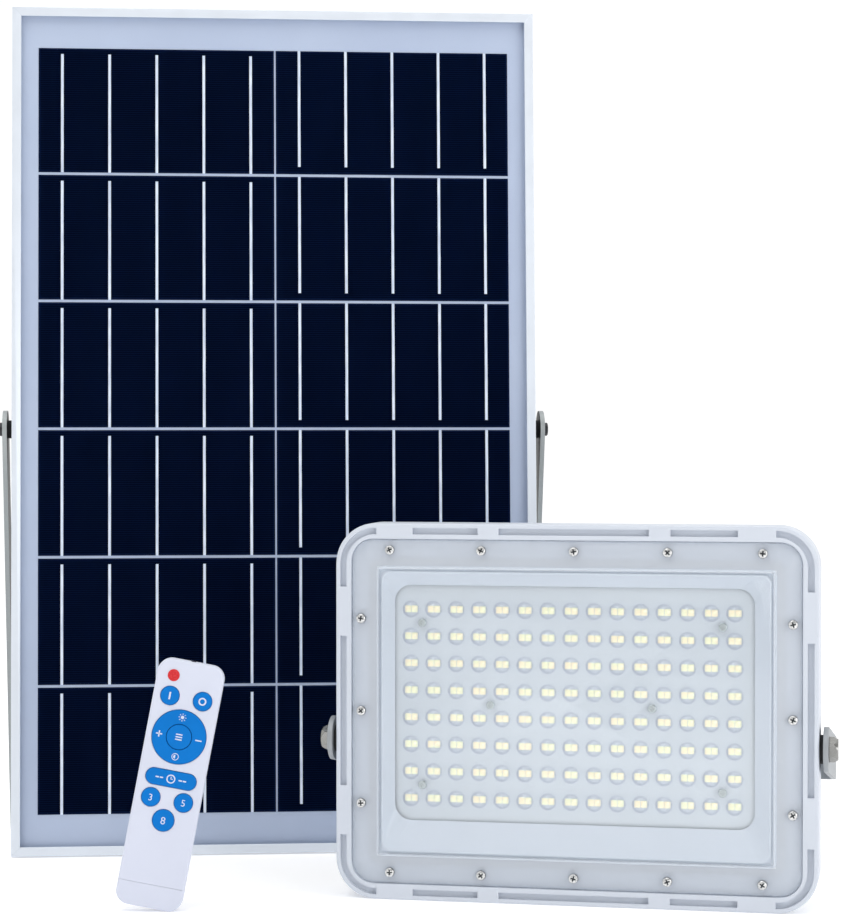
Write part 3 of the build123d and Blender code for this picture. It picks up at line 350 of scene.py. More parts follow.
def see_through(finish, tint_facing, tint_grazing, gloss_roughness, gloss_share, haze=0.0, haze_colour=None,
                mirror=NORMAL_MIRROR):
    """Clear plastic or glass: transparency under a reflecting skin, so light reaches what is behind.

    Returns the glossy node, whose normal the caller may ripple."""
    facing = finish.add("ShaderNodeLayerWeight", Blend=0.5).outputs["Facing"]
    clear = finish.add("ShaderNodeBsdfTransparent",
                       Color=finish.blend(finish.maths("POWER", facing, 1.5), tint_facing, tint_grazing))
    body = clear.outputs["BSDF"]
    if haze_colour is not None:
        milk = finish.add("ShaderNodeBsdfDiffuse", Color=haze_colour)
        mixed = finish.add("ShaderNodeMixShader", Fac=haze)
        finish.feed(mixed.inputs[1], body)
        finish.feed(mixed.inputs[2], milk.outputs["BSDF"])
        body = mixed.outputs["Shader"]
    shine = finish.add("ShaderNodeBsdfGlossy", Color=(1.0, 1.0, 1.0), Roughness=gloss_roughness)
    rise = finish.maths("POWER", facing, 5.0)
    share = finish.maths("MULTIPLY", finish.maths("MULTIPLY_ADD", rise, 1.0 - mirror, mirror), gloss_share)
    top = finish.add("ShaderNodeMixShader", Fac=share)
    finish.feed(top.inputs[1], body)
    finish.feed(top.inputs[2], shine.outputs["BSDF"])
    finish.surface(top.outputs["Shader"])
    return shine


def panel_glass():
    """Tempered glass with a very fine rolled texture."""
    finish = Finish("panel_glass", PANEL)
    rolled = finish.noise(0.35, detail=3.0)
    relief = finish.add("ShaderNodeBump", Height=rolled, Strength=0.05, Distance=0.02 * MM)
    shine = see_through(finish, (0.985, 0.99, 1.0), (0.85, 0.91, 0.94),
                        finish.ramp(rolled, 0.3, 0.7, 0.2, 0.26), 0.5, mirror=COATED_MIRROR)
    finish.feed(shine.inputs["Normal"], relief.outputs["Normal"])
    return finish.material


WINDOW_HALF = (118.9, 86.8)
WINDOW_HAZE = 0.02
FLANGE_HAZE = 0.33
EDGE_HAZE = 0.45


def cover_clear():
    """Clear polycarbonate: a clear window with frosted edges inside a hazier flange."""
    finish = Finish("cover_clear", LAMP)
    x, _, z = finish.split()
    outside = finish.maths("MAXIMUM",
                           finish.maths("SUBTRACT", finish.maths("ABSOLUTE", x), WINDOW_HALF[0]),
                           finish.maths("SUBTRACT", finish.maths("ABSOLUTE", z), WINDOW_HALF[1]))
    flange = finish.ramp(outside, 0.1, 0.4)
    window = finish.ramp(outside, 0.1, 0.4, 1.0, 0.0)
    edge = finish.maths("MULTIPLY", finish.ramp(outside, -1.6, -0.6), window)
    ripple = finish.noise(0.06, detail=3.0)
    haze = finish.maths("MULTIPLY_ADD", flange, FLANGE_HAZE,
                        finish.maths("MULTIPLY_ADD", edge, EDGE_HAZE, WINDOW_HAZE))
    relief = finish.add("ShaderNodeBump", Height=ripple, Strength=0.15, Distance=0.2 * MM)
    shine = see_through(finish, (0.995, 0.997, 1.0), (0.93, 0.95, 0.97),
                        finish.ramp(ripple, 0.3, 0.7, 0.05, 0.12), 0.5,
                        haze=haze, haze_colour=(0.80, 0.85, 0.92))
    finish.feed(shine.inputs["Normal"], relief.outputs["Normal"])
    return finish.material


def lens_clear():
    """Clear acrylic of the lens plate; the domes look grey towards their rims."""
    finish = Finish("lens_clear", LAMP)
    _, depth, _ = finish.split()
    dome = finish.ramp(depth, LENS_FRONT - 0.25, LENS_FRONT - 0.05, 1.0, 0.0)
    ripple = finish.noise(0.25, detail=3.0)
    relief = finish.add("ShaderNodeBump", Height=ripple, Strength=0.2, Distance=0.05 * MM)
    shine = see_through(finish, (0.998, 0.998, 0.998),
                        finish.blend(dome, (0.985, 0.985, 0.985), (0.64, 0.66, 0.77)),
                        finish.ramp(ripple, 0.3, 0.7, 0.05, 0.1), 0.7)
    finish.feed(shine.inputs["Normal"], relief.outputs["Normal"])
    return finish.material


def led_yellow():
    """Phosphor of the chips, warmer on some than on others, with a fine grain and a faint painted glow, though the
    chips are not lit.
    """
    finish = Finish("led_yellow", LAMP)
    grain = finish.noise(1.6, detail=2.0)
    batch = finish.noise(0.16, detail=2.0)
    colour = finish.blend(finish.ramp(batch, 0.4, 0.6), (0.90, 0.93, 0.60), (1.0, 0.87, 0.58))
    finish.set(Base_Color=finish.blend(finish.ramp(grain, 0.3, 0.7, 0.0, 0.4), colour, (0.98, 0.96, 0.80)),
               Roughness=finish.ramp(grain, 0.3, 0.7, 0.35, 0.55),
               # painted glow: a faint emission that brightens the unlit chips
               Emission_Color=(1.0, 0.93, 0.60, 1.0),
               Emission_Strength=0.14)
    finish.bump(grain, 0.3, 0.02)
    return finish.material


def screw_chrome():
    """Bright screw heads with painted shade, near black, in the cross recess and down the side of the head."""
    finish = Finish("screw_chrome", LAMP)
    _, depth, _ = finish.split()
    brushed = finish.noise(1.2, detail=3.0)
    # painted shade: deeper than the front of the head the colour turns near black
    painted_shade = finish.ramp(depth, SCREW_FRONT + 0.3, SCREW_FRONT + 0.8)
    bright = finish.blend(finish.ramp(brushed, 0.35, 0.65), (0.42, 0.43, 0.43), (0.88, 0.88, 0.87))
    finish.set(Base_Color=finish.blend(painted_shade, bright, (0.035, 0.04, 0.045)),
               Metallic=0.55,
               Roughness=finish.ramp(brushed, 0.3, 0.7, 0.12, 0.25))
    finish.bump(brushed, 0.2, 0.02)
    return finish.material


INNER_SHADE_RANGE = (-150.0, -100.0)            # x times the normal's x over which painted shade fades in on faces that look toward the panel's middle


def bracket_paint():
    """Grey paint of the panel's bracket, with painted shade, nearly black, on the inner faces of the legs, the
    side that faces the panel.
    """
    finish = Finish("bracket_grey", PANEL)
    x, _, _ = finish.split()
    geometry = finish.tree.nodes.new("ShaderNodeNewGeometry")
    facing = finish.add("ShaderNodeSeparateXYZ", Vector=geometry.outputs["Normal"]).outputs["X"]
    painted_inner_shade = finish.ramp(finish.maths("MULTIPLY", x, facing), *INNER_SHADE_RANGE, 1.0, 0.0)
    peel = finish.noise(0.8, detail=2.0)
    grey = finish.blend(finish.ramp(peel, 0.3, 0.7), (0.33, 0.355, 0.36), (0.36, 0.385, 0.39))
    # painted shade: the inner faces of the legs turn nearly black
    finish.set(Base_Color=finish.blend(painted_inner_shade, grey, (0.015, 0.018, 0.018)),
               Roughness=finish.ramp(peel, 0.3, 0.7, *PAINT_ROUGHNESS),
               Metallic=PAINT_METALLIC)
    finish.bump(peel, 0.4, 0.05)
    return finish.material


def circuit_board():
    """Green board with faint copper tracks under the lacquer."""
    finish = Finish("circuit_board")
    tracks = finish.noise(900.0, detail=1.0, stretch=(1.0, 1.0, 0.2))
    green = finish.blend(finish.ramp(tracks, 0.48, 0.52), (0.012, 0.10, 0.035), (0.03, 0.18, 0.06))
    finish.set(Base_Color=green, Roughness=finish.ramp(tracks, 0.3, 0.7, 0.3, 0.45))
    finish.bump(tracks, 0.3, 0.03)
    return finish.material


def materials():
    """One material for every slot of the record."""
    made = {
        "frame_aluminium": metal("frame_aluminium", (0.76, 0.81, 0.88), PANEL, roughness=0.42, metallic=0.35,
                                 streak=(0.03, 1.0, 0.03), streak_scale=3.0, relief=0.01, spread=0.03),
        "key_aluminium": metal("key_aluminium", (0.62, 0.63, 0.65), PANEL, roughness=0.5),
        "panel_glass": panel_glass(),
        "solar_ribbon": solar_ribbon(),
        "solar_cell": solar_cell(),
        "backsheet": backsheet(),
        "black_metal": metal("black_metal", (0.05, 0.05, 0.055), PANEL, roughness=0.4, metallic=0.8),
        "black_rubber": moulded("black_rubber", (0.018, 0.018, 0.02), PANEL, roughness=0.7, spread=0.2),
        "nut_zinc": metal("nut_zinc", (0.62, 0.60, 0.52), PANEL, roughness=0.35),
        "junction_plastic": moulded("junction_plastic", (0.022, 0.022, 0.024), PANEL, roughness=0.5,
                                    spread=0.15, relief=0.05),
        "small_screw": metal("small_screw", (0.55, 0.60, 0.60), LAMP, roughness=0.35),
        "circuit_board": circuit_board(),
        "bracket_grey": bracket_paint(),
        "housing_white": moulded("housing_white", (0.60, 0.64, 0.71), LAMP, roughness=0.42, spread=0.03,
                                 specular=0.3),
        "gasket_grey": moulded("gasket_grey", (0.42, 0.43, 0.45), LAMP, roughness=0.7),
        "cover_clear": cover_clear(),
        "screw_chrome": screw_chrome(),
        "tray_white": moulded("tray_white", (0.66, 0.71, 0.775), LAMP, roughness=0.35, spread=0.02),
        "lens_clear": lens_clear(),
        "led_yellow": led_yellow(),
        "led_board_white": moulded("led_board_white", (0.70, 0.755, 0.80), LAMP, roughness=0.45,
                                   spread=0.02),
        "battery_wrap": moulded("battery_wrap", (0.03, 0.16, 0.30), LAMP, roughness=0.3),
        "cradle_black": moulded("cradle_black", (0.02, 0.02, 0.02), LAMP, roughness=0.55),
        "component_dark": moulded("component_dark", (0.03, 0.03, 0.035), LAMP, roughness=0.45),
        "gland_black": moulded("gland_black", (0.02, 0.02, 0.022), LAMP, roughness=0.5, relief=0.05),
        "bolt_steel": metal("bolt_steel", (0.30, 0.30, 0.29), LAMP, roughness=0.2, spread=0.3),
        "remote_white": moulded("remote_white", (0.64, 0.67, 0.78), REMOTE, roughness=0.45, spread=0.03,
                                specular=0.25),
        "key_blue": moulded("key_blue", (0.0012, 0.175, 0.58), REMOTE, roughness=0.55, spread=0.1,
                            specular=0.12),
        "indicator_red": moulded("indicator_red", (0.62, 0.015, 0.02), REMOTE, roughness=0.25, spread=0.15),
        "dome_steel": metal("dome_steel", (0.66, 0.66, 0.66), REMOTE, roughness=0.3),
        "infrared_dark": moulded("infrared_dark", (0.02, 0.012, 0.03), REMOTE, roughness=0.15),
    }
    return made


MATERIALS = materials()


# ------------------------------------------------------------------- mesh helpers
def rounded_loop(half_width, half_height, radius, depth, centre=(0.0, 0.0), steps=10):
    """Points of a rounded rectangle in the XZ plane at a depth, counter-clockwise seen from the front."""
    radius = max(min(radius, half_width, half_height), 0.05)
    loop = []
    for quarter, (sx, sz) in enumerate(((1, 1), (-1, 1), (-1, -1), (1, -1))):
        middle_x = centre[0] + sx * (half_width - radius)
        middle_z = centre[1] + sz * (half_height - radius)
        for step in range(steps + 1):
            angle = math.radians(90.0) * (quarter + step / steps)
            loop.append((middle_x + radius * math.cos(angle), depth, middle_z + radius * math.sin(angle)))
    return loop


def circle_loop(radius, depth, centre=(0.0, 0.0), steps=32):
    """Points of a circle in the XZ plane at a depth."""
    return [(centre[0] + radius * math.cos(2 * math.pi * i / steps), depth,
             centre[1] + radius * math.sin(2 * math.pi * i / steps)) for i in range(steps)]


def skin(bm, loops, closed=False):
    """Join loops of equal length with faces; the ends are capped unless the row of loops is closed."""
    rings = [[bm.verts.new(point) for point in loop] for loop in loops]
    pairs = list(zip(rings, rings[1:]))
    if closed:
        pairs.append((rings[-1], rings[0]))
    for first, second in pairs:
        count = len(first)
        for i in range(count):
            bm.faces.new((first[i], first[(i + 1) % count], second[(i + 1) % count], second[i]))
    if not closed:
        bm.faces.new(rings[0])
        bm.faces.new(list(reversed(rings[-1])))


def stamp(bm, mesh, places):
    """Copies of a mesh at several (x, z) places."""
    for x, z in places:
        first = len(bm.verts)
        bm.from_mesh(mesh)
        bm.verts.ensure_lookup_table()
        bmesh.ops.translate(bm, verts=bm.verts[first:], vec=(x, 0.0, z))


def template(bm, name):
    """A mesh to stamp from."""
    mesh = bpy.data.meshes.new(name)
    bm.to_mesh(mesh)
    bm.free()
    return mesh


def piece(name, bm, place, body, slot, replaces=(), sharp=35.0):
    """Turn a bmesh in local millimetres into a finished piece that rides on a body."""
    bmesh.ops.transform(bm, matrix=place, verts=bm.verts)
    bmesh.ops.recalc_face_normals(bm, faces=bm.faces)
    mesh = bpy.data.meshes.new(name)
    bm.to_mesh(mesh)
    bm.free()
    mesh.shade_smooth()
    mesh.set_sharp_from_angle(angle=math.radians(sharp))
    mesh.materials.append(MATERIALS[slot])
    made = bpy.data.objects.new(name, mesh)
    bpy.context.scene.collection.objects.link(made)
    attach(made, body)
    if replaces:
        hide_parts(*replaces)


def soften(target, width, segments=2, angle=40.0):
    """Rounded edges for a CAD node, without changing its mesh."""
    weld = target.modifiers.new("weld", "WELD")
    weld.merge_threshold = 0.01 * MM
    bevel = target.modifiers.new("bevel", "BEVEL")
    bevel.width = width * MM
    bevel.segments = segments
    bevel.limit_method = "ANGLE"
    bevel.angle_limit = math.radians(angle)
    bevel.harden_normals = True
    bevel.use_clamp_overlap = True


def led_places():
    """Centres of the lenses."""
    for column in range(LED_COUNT[0]):
        for row in range(LED_COUNT[1]):
            yield (LED_CENTRE[0] + (column - (LED_COUNT[0] - 1) / 2) * LED_PITCH[0],
                   LED_CENTRE[1] + (row - (LED_COUNT[1] - 1) / 2) * LED_PITCH[1])


# -------------------------------------------------------------- panel laminate
PANEL_WIDTH = 350.0
LAMINATE_EDGE = 2.0
GLASS_FRONT = 1.3
GLASS_BACK = 4.4


def rounded_slab(bm, half_width, half_height, radius, front, back, soft, centre=(0.0, 0.0), steps=6):
    """Plate with rounded corners and softened edges."""
    profile = [(soft, front), (soft * 0.3, front + soft * 0.3), (0.0, front + soft),
               (0.0, back - soft), (soft * 0.3, back - soft * 0.3), (soft, back)]
    skin(bm, [rounded_loop(half_width - inset, half_height - inset, radius - inset, depth, centre, steps)
              for inset, depth in profile])


def panel_glass_sheet():
    """Glass in the frame's groove, a hair in front of the ribbons."""
    bm = bmesh.new()
    rounded_slab(bm, PANEL_WIDTH / 2 - LAMINATE_EDGE, PANEL_HEIGHT / 2 - LAMINATE_EDGE, 1.5,
                 GLASS_FRONT, GLASS_BACK, 0.4, centre=(0.0, PANEL_HEIGHT / 2))
    piece("glass_sheet", bm, PANEL, "panel", "panel_glass", replaces=["panel_glass"])


panel_glass_sheet()

# ------------------------------------------------------------------ lamp front
FLANGE_HALF = (134.2, 103.2)
FLANGE_RADIUS = 13.0
FLANGE_FRONT = 2.0
FLANGE_BACK = 4.0
WINDOW_FRONT = -1.0
WINDOW_RADIUS = 3.0
COVER_THICK = 2.0


def lamp_cover_piece():
    """One clear moulding: raised window with a rounded edge, and the flange round it."""
    profile = [
        (WINDOW_HALF, WINDOW_RADIUS, 1.0, WINDOW_FRONT),
        (WINDOW_HALF, WINDOW_RADIUS, 0.45, WINDOW_FRONT + 0.12),
        (WINDOW_HALF, WINDOW_RADIUS, 0.12, WINDOW_FRONT + 0.45),
        (WINDOW_HALF, WINDOW_RADIUS, 0.0, WINDOW_FRONT + 1.0),
        (WINDOW_HALF, WINDOW_RADIUS, 0.0, FLANGE_FRONT - 0.4),
        (WINDOW_HALF, WINDOW_RADIUS, -0.12, FLANGE_FRONT - 0.12),
        (WINDOW_HALF, WINDOW_RADIUS, -0.4, FLANGE_FRONT),
        (FLANGE_HALF, FLANGE_RADIUS, 0.3, FLANGE_FRONT),
        (FLANGE_HALF, FLANGE_RADIUS, 0.0, FLANGE_FRONT + 0.3),
        (FLANGE_HALF, FLANGE_RADIUS, 0.0, FLANGE_BACK - 0.3),
        (FLANGE_HALF, FLANGE_RADIUS, 0.3, FLANGE_BACK),
        (WINDOW_HALF, WINDOW_RADIUS, COVER_THICK, FLANGE_BACK),
        (WINDOW_HALF, WINDOW_RADIUS, COVER_THICK, WINDOW_FRONT + COVER_THICK + 0.3),
        (WINDOW_HALF, WINDOW_RADIUS, COVER_THICK + 0.3, WINDOW_FRONT + COVER_THICK),
    ]
    bm = bmesh.new()
    skin(bm, [rounded_loop(half[0] - inset, half[1] - inset, radius - inset, depth)
              for half, radius, inset, depth in profile])
    piece("cover_moulding", bm, LAMP, "lamp", "cover_clear", replaces=["lamp_cover"], sharp=50.0)


SCREW_SPACING = (55.65, 55.6)
SCREW_ROW = 96.9             # height of the top and bottom rows from the middle
SCREW_SIDE = 128.9           # distance of the side columns from the middle
CROSS_ARM = (1.75, 0.46)     # half the length and width of an arm of the cross recess
SCREW_TURN = 37.0            # degrees from one screw's cross to the next
LOOP_STEPS = 64


def cross_loop(depth, centre, turn, scale=1.0):
    """Outline of a cross recess as points at even angles."""
    loop = []
    for step in range(LOOP_STEPS):
        angle = 2 * math.pi * step / LOOP_STEPS
        ways = abs(math.cos(angle - turn)) + 1e-6, abs(math.sin(angle - turn)) + 1e-6
        reach = scale * max(min(CROSS_ARM[0] / ways[0], CROSS_ARM[1] / ways[1]),
                            min(CROSS_ARM[1] / ways[0], CROSS_ARM[0] / ways[1]))
        loop.append((centre[0] + reach * math.cos(angle), depth, centre[1] + reach * math.sin(angle)))
    return loop


def cover_screw_places():
    """The sixteen screws round the flange."""
    for side in (-1, 1):
        for column in range(-2, 3):
            yield column * SCREW_SPACING[0], side * SCREW_ROW
        for row in range(-1, 2):
            yield side * SCREW_SIDE, row * SCREW_SPACING[1]


def cover_screws_piece():
    """Pan heads with a cross recess, each turned differently."""
    head = [(0.0, SCREW_SEAT), (0.0, SCREW_FRONT + 0.9), (0.12, SCREW_FRONT + 0.45),
            (0.4, SCREW_FRONT + 0.18), (0.85, SCREW_FRONT + 0.04), (1.0, SCREW_FRONT)]
    bm = bmesh.new()
    for number, centre in enumerate(cover_screw_places()):
        turn = math.radians(SCREW_TURN * number)
        loops = [circle_loop(SCREW_RADIUS - inset, depth, centre, LOOP_STEPS) for inset, depth in head]
        loops.append(cross_loop(SCREW_FRONT, centre, turn))
        loops.append(cross_loop(SCREW_FRONT + 1.1, centre, turn, scale=0.8))
        skin(bm, loops)
    piece("cover_screws", bm, LAMP, "lamp", "screw_chrome", replaces=["lamp_cover_screws"])


BOARD_FRONT = 10.7
BOARD_BACK = 12.2


def led_board_piece():
    """White board behind the lens plate."""
    bm = bmesh.new()
    rounded_slab(bm, TRAY_FLOOR[0] / 2 + 4.0, TRAY_FLOOR[1] / 2 + 3.0, 3.0, BOARD_FRONT, BOARD_BACK, 0.2,
                 centre=TRAY_CENTRE)
    piece("led_board", bm, LAMP, "lamp", "led_board_white", replaces=["lamp_led_board"])


def led_chip_pieces():
    """Two chips under every bubble: a white package with a proud field of phosphor."""
    shapes = {
        "chip_packages": (0.0, 0.0, "led_board_white"),
        "chip_phosphor": (0.1, 0.06, "led_yellow"),
    }
    for name, (inset, proud, slot) in shapes.items():
        bm = bmesh.new()
        rounded_slab(bm, CHIP_SIZE[0] / 2 - inset, CHIP_SIZE[1] / 2 - inset, 0.35,
                     BOARD_FRONT - CHIP_THICK - proud, BOARD_FRONT - 0.02, 0.05, steps=2)
        one = template(bm, "one_chip")
        bm = bmesh.new()
        stamp(bm, one, [(x + side * CHIP_SPACING / 2, z) for x, z in led_places() for side in (-1, 1)])
        replaced = ["lamp_led_chips"] if slot == "led_yellow" else []
        piece(name, bm, LAMP, "lamp", slot, replaces=replaced)


def cap_profile(radius, rise, rings):
    """Points (radius, depth) of a spherical cap from its rim to its top."""
    ball = (radius ** 2 + rise ** 2) / (2 * rise)
    widest = math.asin(radius / ball)
    turns = [widest * (1 - i / rings) for i in range(rings)]
    return [(ball * math.sin(turn), LENS_FRONT + ball - rise - ball * math.cos(turn)) for turn in turns]


def lens_plate_piece():
    """Clear plate with a thin bubble over each pair of chips."""
    bm = bmesh.new()
    outer = cap_profile(LENS_RADIUS, LENS_RISE, 7)
    inner = cap_profile(LENS_RADIUS - LENS_WALL, LENS_RISE - LENS_WALL * 1.3, 7)
    loops = [circle_loop(radius, depth, steps=24) for radius, depth in reversed(outer)]
    loops += [circle_loop(radius, depth, steps=24) for radius, depth in inner]
    skin(bm, loops)
    bubble = template(bm, "bubble")
    bm = bmesh.new()
    stamp(bm, bubble, led_places())
    rounded_slab(bm, TRAY_FLOOR[0] / 2 + 2.0, TRAY_FLOOR[1] / 2 + 2.0, 2.0, LENS_FRONT + 0.02,
                 LENS_BACK - 0.05, 0.2, centre=TRAY_CENTRE)
    piece("lens_plate", bm, LAMP, "lamp", "lens_clear", replaces=["lamp_lens_plate"])


lamp_cover_piece()
cover_screws_piece()
led_board_piece()
led_chip_pieces()
lens_plate_piece()

# --------------------------------------------------------------- remote legends
KEY_FACE = -0.6
LEGEND_PROUD = 0.12
LEGEND_SUNK = 0.15
KEY_PITCH = 9.7              # half the distance between the two keys of a row
ON_ROW = 51.7                # heights of the rows of keys
RING_AT = (0.0, 28.8)
AUTO_ROW = 3.8
TIMER_ROW = -8.7
LONG_ROW = -20.9
ICON_REACH = 11.7            # from the middle of the ring to the marks on it
BAR = 0.75                   # width of a printed stroke


def legend_slab(bm, outline):
    """Thin raised print with the given outline of (x, z) points, counter-clockwise."""
    depths = (KEY_FACE - LEGEND_PROUD, KEY_FACE + LEGEND_SUNK)
    skin(bm, [[(x, depth, z) for x, z in outline] for depth in depths])


def stroke(bm, start, end, width=BAR):
    """Straight printed bar with square ends."""
    along = (Vector(end) - Vector(start)).normalized() * (width / 2)
    side = Vector((-along.y, along.x))
    first, last = Vector(start) - along, Vector(end) + along
    legend_slab(bm, [first - side, last - side, last + side, first + side])


def arc_band(bm, centre, radius, width=BAR, steps=24):
    """Printed ring."""
    profile = [(radius - width / 2, KEY_FACE - LEGEND_PROUD), (radius + width / 2, KEY_FACE - LEGEND_PROUD),
               (radius + width / 2, KEY_FACE + LEGEND_SUNK), (radius - width / 2, KEY_FACE + LEGEND_SUNK)]
    skin(bm, [circle_loop(size, depth, centre, steps) for size, depth in profile], closed=True)


def disc(bm, centre, radius, steps=20):
    """Printed dot."""
    legend_slab(bm, [(x, z) for x, _, z in circle_loop(radius, 0.0, centre, steps)])


def sun(bm, centre, radius):
    """Dot with eight rays."""
    disc(bm, centre, radius * 0.45)
    for ray in range(8):
        angle = math.radians(45.0 * ray)
        way = Vector((math.cos(angle), math.sin(angle)))
        stroke(bm, Vector(centre) + way * radius * 0.75, Vector(centre) + way * radius, width=0.35)


def half_lit(bm, centre, radius, steps=16):
    """Ring whose left half is filled."""
    arc_band(bm, centre, radius, width=0.4)
    turns = [math.pi * (0.5 + i / steps) for i in range(steps + 1)]
    legend_slab(bm, [(centre[0] + 0.6 * radius * math.cos(turn), centre[1] + 0.6 * radius * math.sin(turn))
                     for turn in turns])


def digit(bm, figure, centre, height):
    """A plain figure."""
    curve = bpy.data.curves.new("figure", "FONT")
    curve.body = figure
    curve.align_x = "CENTER"
    curve.size = height * 1.4
    curve.resolution_u = 3
    curve.extrude = (LEGEND_PROUD + LEGEND_SUNK) / 2
    holder = bpy.data.objects.new("figure", curve)
    bpy.context.scene.collection.objects.link(holder)
    bpy.context.view_layer.update()
    flat = bpy.data.meshes.new_from_object(holder.evaluated_get(bpy.context.evaluated_depsgraph_get()))
    bpy.data.objects.remove(holder)
    stand = Matrix.Rotation(math.radians(90.0), 4, "X")
    depth = KEY_FACE + (LEGEND_SUNK - LEGEND_PROUD) / 2
    flat.transform(Matrix.Translation((centre[0], depth, centre[1] - height / 2)) @ stand)
    bm.from_mesh(flat)
    bmesh.ops.remove_doubles(bm, verts=bm.verts, dist=0.002)


def legend(key, draw):
    """One printed mark that rides on its key."""
    bm = bmesh.new()
    draw(bm)
    piece(f"legend_{key}", bm, REMOTE, f"remote_key_{key}", "remote_white", sharp=20.0)


def draw_on(bm):
    """Upright bar."""
    stroke(bm, (-KEY_PITCH, ON_ROW - 1.7), (-KEY_PITCH, ON_ROW + 1.7), width=1.0)


def draw_off(bm):
    """Ring."""
    arc_band(bm, (KEY_PITCH, ON_ROW), 1.9, width=0.9)


def draw_ring(bm):
    """Sun, half-filled ring, plus and minus."""
    x, z = RING_AT
    sun(bm, (x, z + ICON_REACH), 2.2)
    half_lit(bm, (x, z - ICON_REACH), 1.9)
    stroke(bm, (x - ICON_REACH - 1.5, z), (x - ICON_REACH + 1.5, z))
    stroke(bm, (x - ICON_REACH, z - 1.5), (x - ICON_REACH, z + 1.5))
    stroke(bm, (x + ICON_REACH - 1.5, z), (x + ICON_REACH + 1.5, z))


def draw_mode(bm):
    """Three bars."""
    for rise in (-1.5, 0.0, 1.5):
        stroke(bm, (-1.6, RING_AT[1] + rise), (1.6, RING_AT[1] + rise), width=0.7)


def draw_auto(bm):
    """Clock face between dashes."""
    arc_band(bm, (0.0, AUTO_ROW), 2.3, width=0.7)
    stroke(bm, (0.0, AUTO_ROW), (0.0, AUTO_ROW + 1.2), width=0.5)
    stroke(bm, (0.0, AUTO_ROW), (0.9, AUTO_ROW), width=0.5)
    for side in (-1, 1):
        for reach in (5.0, 7.5):
            stroke(bm, (side * reach, AUTO_ROW), (side * (reach + 1.2), AUTO_ROW), width=0.8)


LEGENDS = {
    "on": draw_on,
    "off": draw_off,
    "ring": draw_ring,
    "mode": draw_mode,
    "auto": draw_auto,
    "short": lambda bm: digit(bm, "3", (-KEY_PITCH, TIMER_ROW), 4.0),
    "medium": lambda bm: digit(bm, "5", (KEY_PITCH, TIMER_ROW), 4.0),
    "long": lambda bm: digit(bm, "8", (0.0, LONG_ROW), 4.4),
}
for key, draw in LEGENDS.items():
    legend(key, draw)

# ------------------------------------------------------------------ carried nodes
OWN_MATERIALS = {"lamp_bracket": powder_coat("lamp_bracket_grey", (0.33, 0.35, 0.37), LAMP)}
SOFT_EDGES = {
    "panel_rail_bottom": 0.35, "panel_rail_top": 0.35, "panel_rail_left": 0.35, "panel_rail_right": 0.35,
    "lamp_bracket": 0.3, "junction_box": 0.4,
    "lamp_housing": 0.3, "lamp_tray": 0.3,
}


def dress_nodes():
    """Give every CAD node that is still shown its material, and soften the larger ones."""
    for name, node in frame["nodes"].items():
        if node.hide_render:
            continue
        slot = NODE_SLOTS[name]
        node.data.materials.clear()
        node.data.materials.append(OWN_MATERIALS.get(name, MATERIALS[slot]))
        if name in SOFT_EDGES:
            soften(node, SOFT_EDGES[name])


dress_nodes()

# -------------------------------------------------------------------------- stage
CAMERA_AT = (-0.1367, -1.6558, 0.2861)
CAMERA_YAW = 5.1             # degrees to the right
CAMERA_DROP = 0.85           # degrees below level
CAMERA_LENS = 101.4
STAGE_MIDDLE = Vector((0.0, 0.0, 0.28))
FLOOR_REACH = 15.0
FLOOR_GLOW = 0.25
STUDIO_BRIGHTNESS = (0.25, 1.03)
STUDIO_TURN = (-0.9, -0.1)               # where one turns into the other, from -1 straight in front
SOFTBOXES = (                            # name, azimuth, elevation, distance, size, power
    ("key", -35.0, 48.0, 2.6, (1.6, 1.2), 13.0),
    ("fill", 38.0, 8.0, 2.6, (1.8, 1.0), 17.0),
    ("top", 0.0, 85.0, 2.4, (2.4, 2.0), 18.0),
)
CLEAR_SURFACES = 32          # clear surfaces that light may pass on its way to a chip and back


def add_camera():
    """Camera at the viewing angle of the photograph."""
    data = bpy.data.cameras.new("camera")
    data.lens = CAMERA_LENS
    data.sensor_width = 36.0
    data.clip_end = 20.0
    camera = bpy.data.objects.new("camera", data)
    camera.location = CAMERA_AT
    camera.rotation_euler = (math.radians(90.0 - CAMERA_DROP), 0.0, -math.radians(CAMERA_YAW))
    bpy.context.scene.collection.objects.link(camera)
    bpy.context.scene.camera = camera


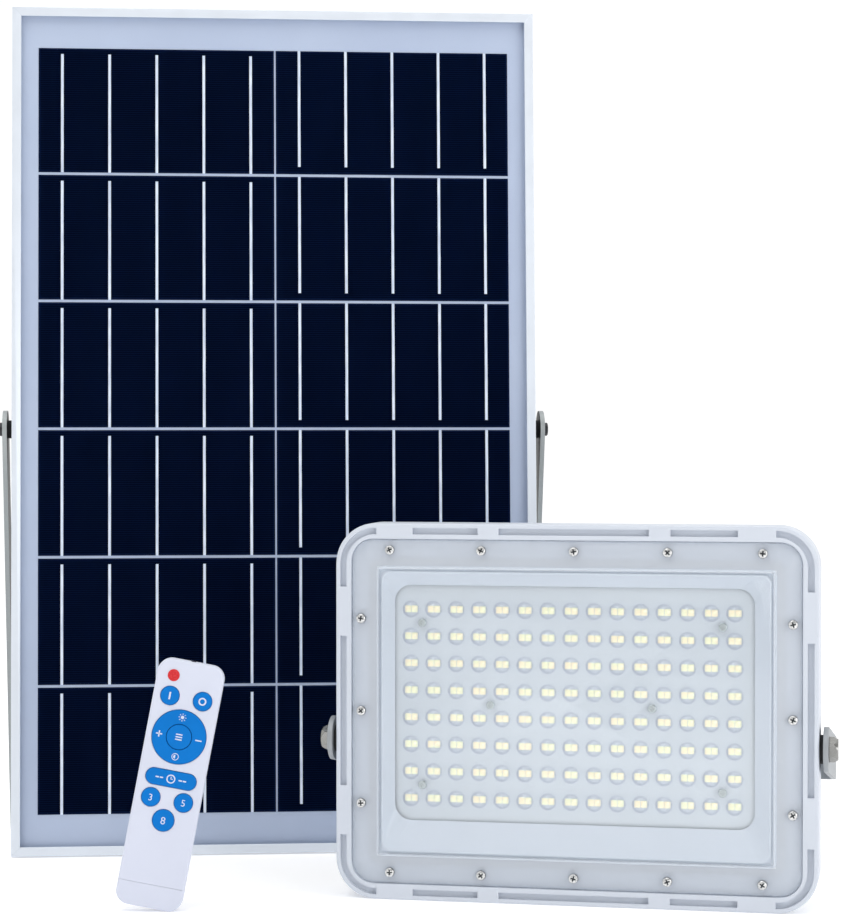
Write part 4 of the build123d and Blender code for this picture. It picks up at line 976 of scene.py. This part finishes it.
def add_floor():
    """Plain pale floor."""
    bm = bmesh.new()
    corners = [(-FLOOR_REACH, -FLOOR_REACH), (FLOOR_REACH, -FLOOR_REACH), (FLOOR_REACH, FLOOR_REACH),
               (-FLOOR_REACH, FLOOR_REACH)]
    bm.faces.new([bm.verts.new((x, y, 0.0)) for x, y in corners])
    mesh = bpy.data.meshes.new("floor")
    bm.to_mesh(mesh)
    bm.free()
    finish = Finish("floor")
    mottling = finish.noise(3.0, detail=4.0)
    pale = finish.blend(finish.ramp(mottling, 0.3, 0.7), (0.90, 0.90, 0.905), (0.92, 0.92, 0.925))
    finish.set(Base_Color=pale,
               Roughness=finish.ramp(mottling, 0.3, 0.7, 0.75, 0.85),
               Emission_Color=(1.0, 1.0, 1.0, 1.0),
               Emission_Strength=FLOOR_GLOW)
    mesh.materials.append(finish.material)
    floor = bpy.data.objects.new("floor", mesh)
    bpy.context.scene.collection.objects.link(floor)


def add_softbox(name, azimuth, elevation, distance, size, power):
    data = bpy.data.lights.new(name, "AREA")
    data.shape = "RECTANGLE"
    data.size = size[0]
    data.size_y = size[1]
    data.energy = power
    light = bpy.data.objects.new(name, data)
    turn = math.radians(azimuth)
    rise = math.radians(elevation)
    offset = Vector((math.sin(turn) * math.cos(rise), -math.cos(turn) * math.cos(rise), math.sin(rise)))
    light.location = STAGE_MIDDLE + offset * distance
    light.rotation_euler = (-offset).to_track_quat("-Z", "Y").to_euler()
    bpy.context.scene.collection.objects.link(light)


def add_world():
    """White studio that is dimmer at the front, where the glass would mirror it."""
    world = bpy.data.worlds.new("studio")
    bpy.context.scene.world = world
    world.use_nodes = True
    tree = world.node_tree
    background = tree.nodes["Background"]
    coordinates = tree.nodes.new("ShaderNodeTexCoord")
    split = tree.nodes.new("ShaderNodeSeparateXYZ")
    tree.links.new(coordinates.outputs["Generated"], split.inputs["Vector"])
    ramp = tree.nodes.new("ShaderNodeMapRange")
    ramp.inputs["From Min"].default_value = STUDIO_TURN[0]
    ramp.inputs["From Max"].default_value = STUDIO_TURN[1]
    ramp.inputs["To Min"].default_value = STUDIO_BRIGHTNESS[0]
    ramp.inputs["To Max"].default_value = STUDIO_BRIGHTNESS[1]
    tree.links.new(split.outputs["Y"], ramp.inputs["Value"])
    background.inputs["Color"].default_value = (1.0, 1.0, 1.0, 1.0)
    tree.links.new(ramp.outputs["Result"], background.inputs["Strength"])


def add_stage():
    """Camera, floor, lights, plain colours and enough see-through surfaces in a row."""
    add_camera()
    add_floor()
    add_world()
    for softbox in SOFTBOXES:
        add_softbox(*softbox)
    bpy.context.scene.view_settings.view_transform = "Standard"
    bpy.context.scene.cycles.transparent_max_bounces = CLEAR_SURFACES


add_stage()
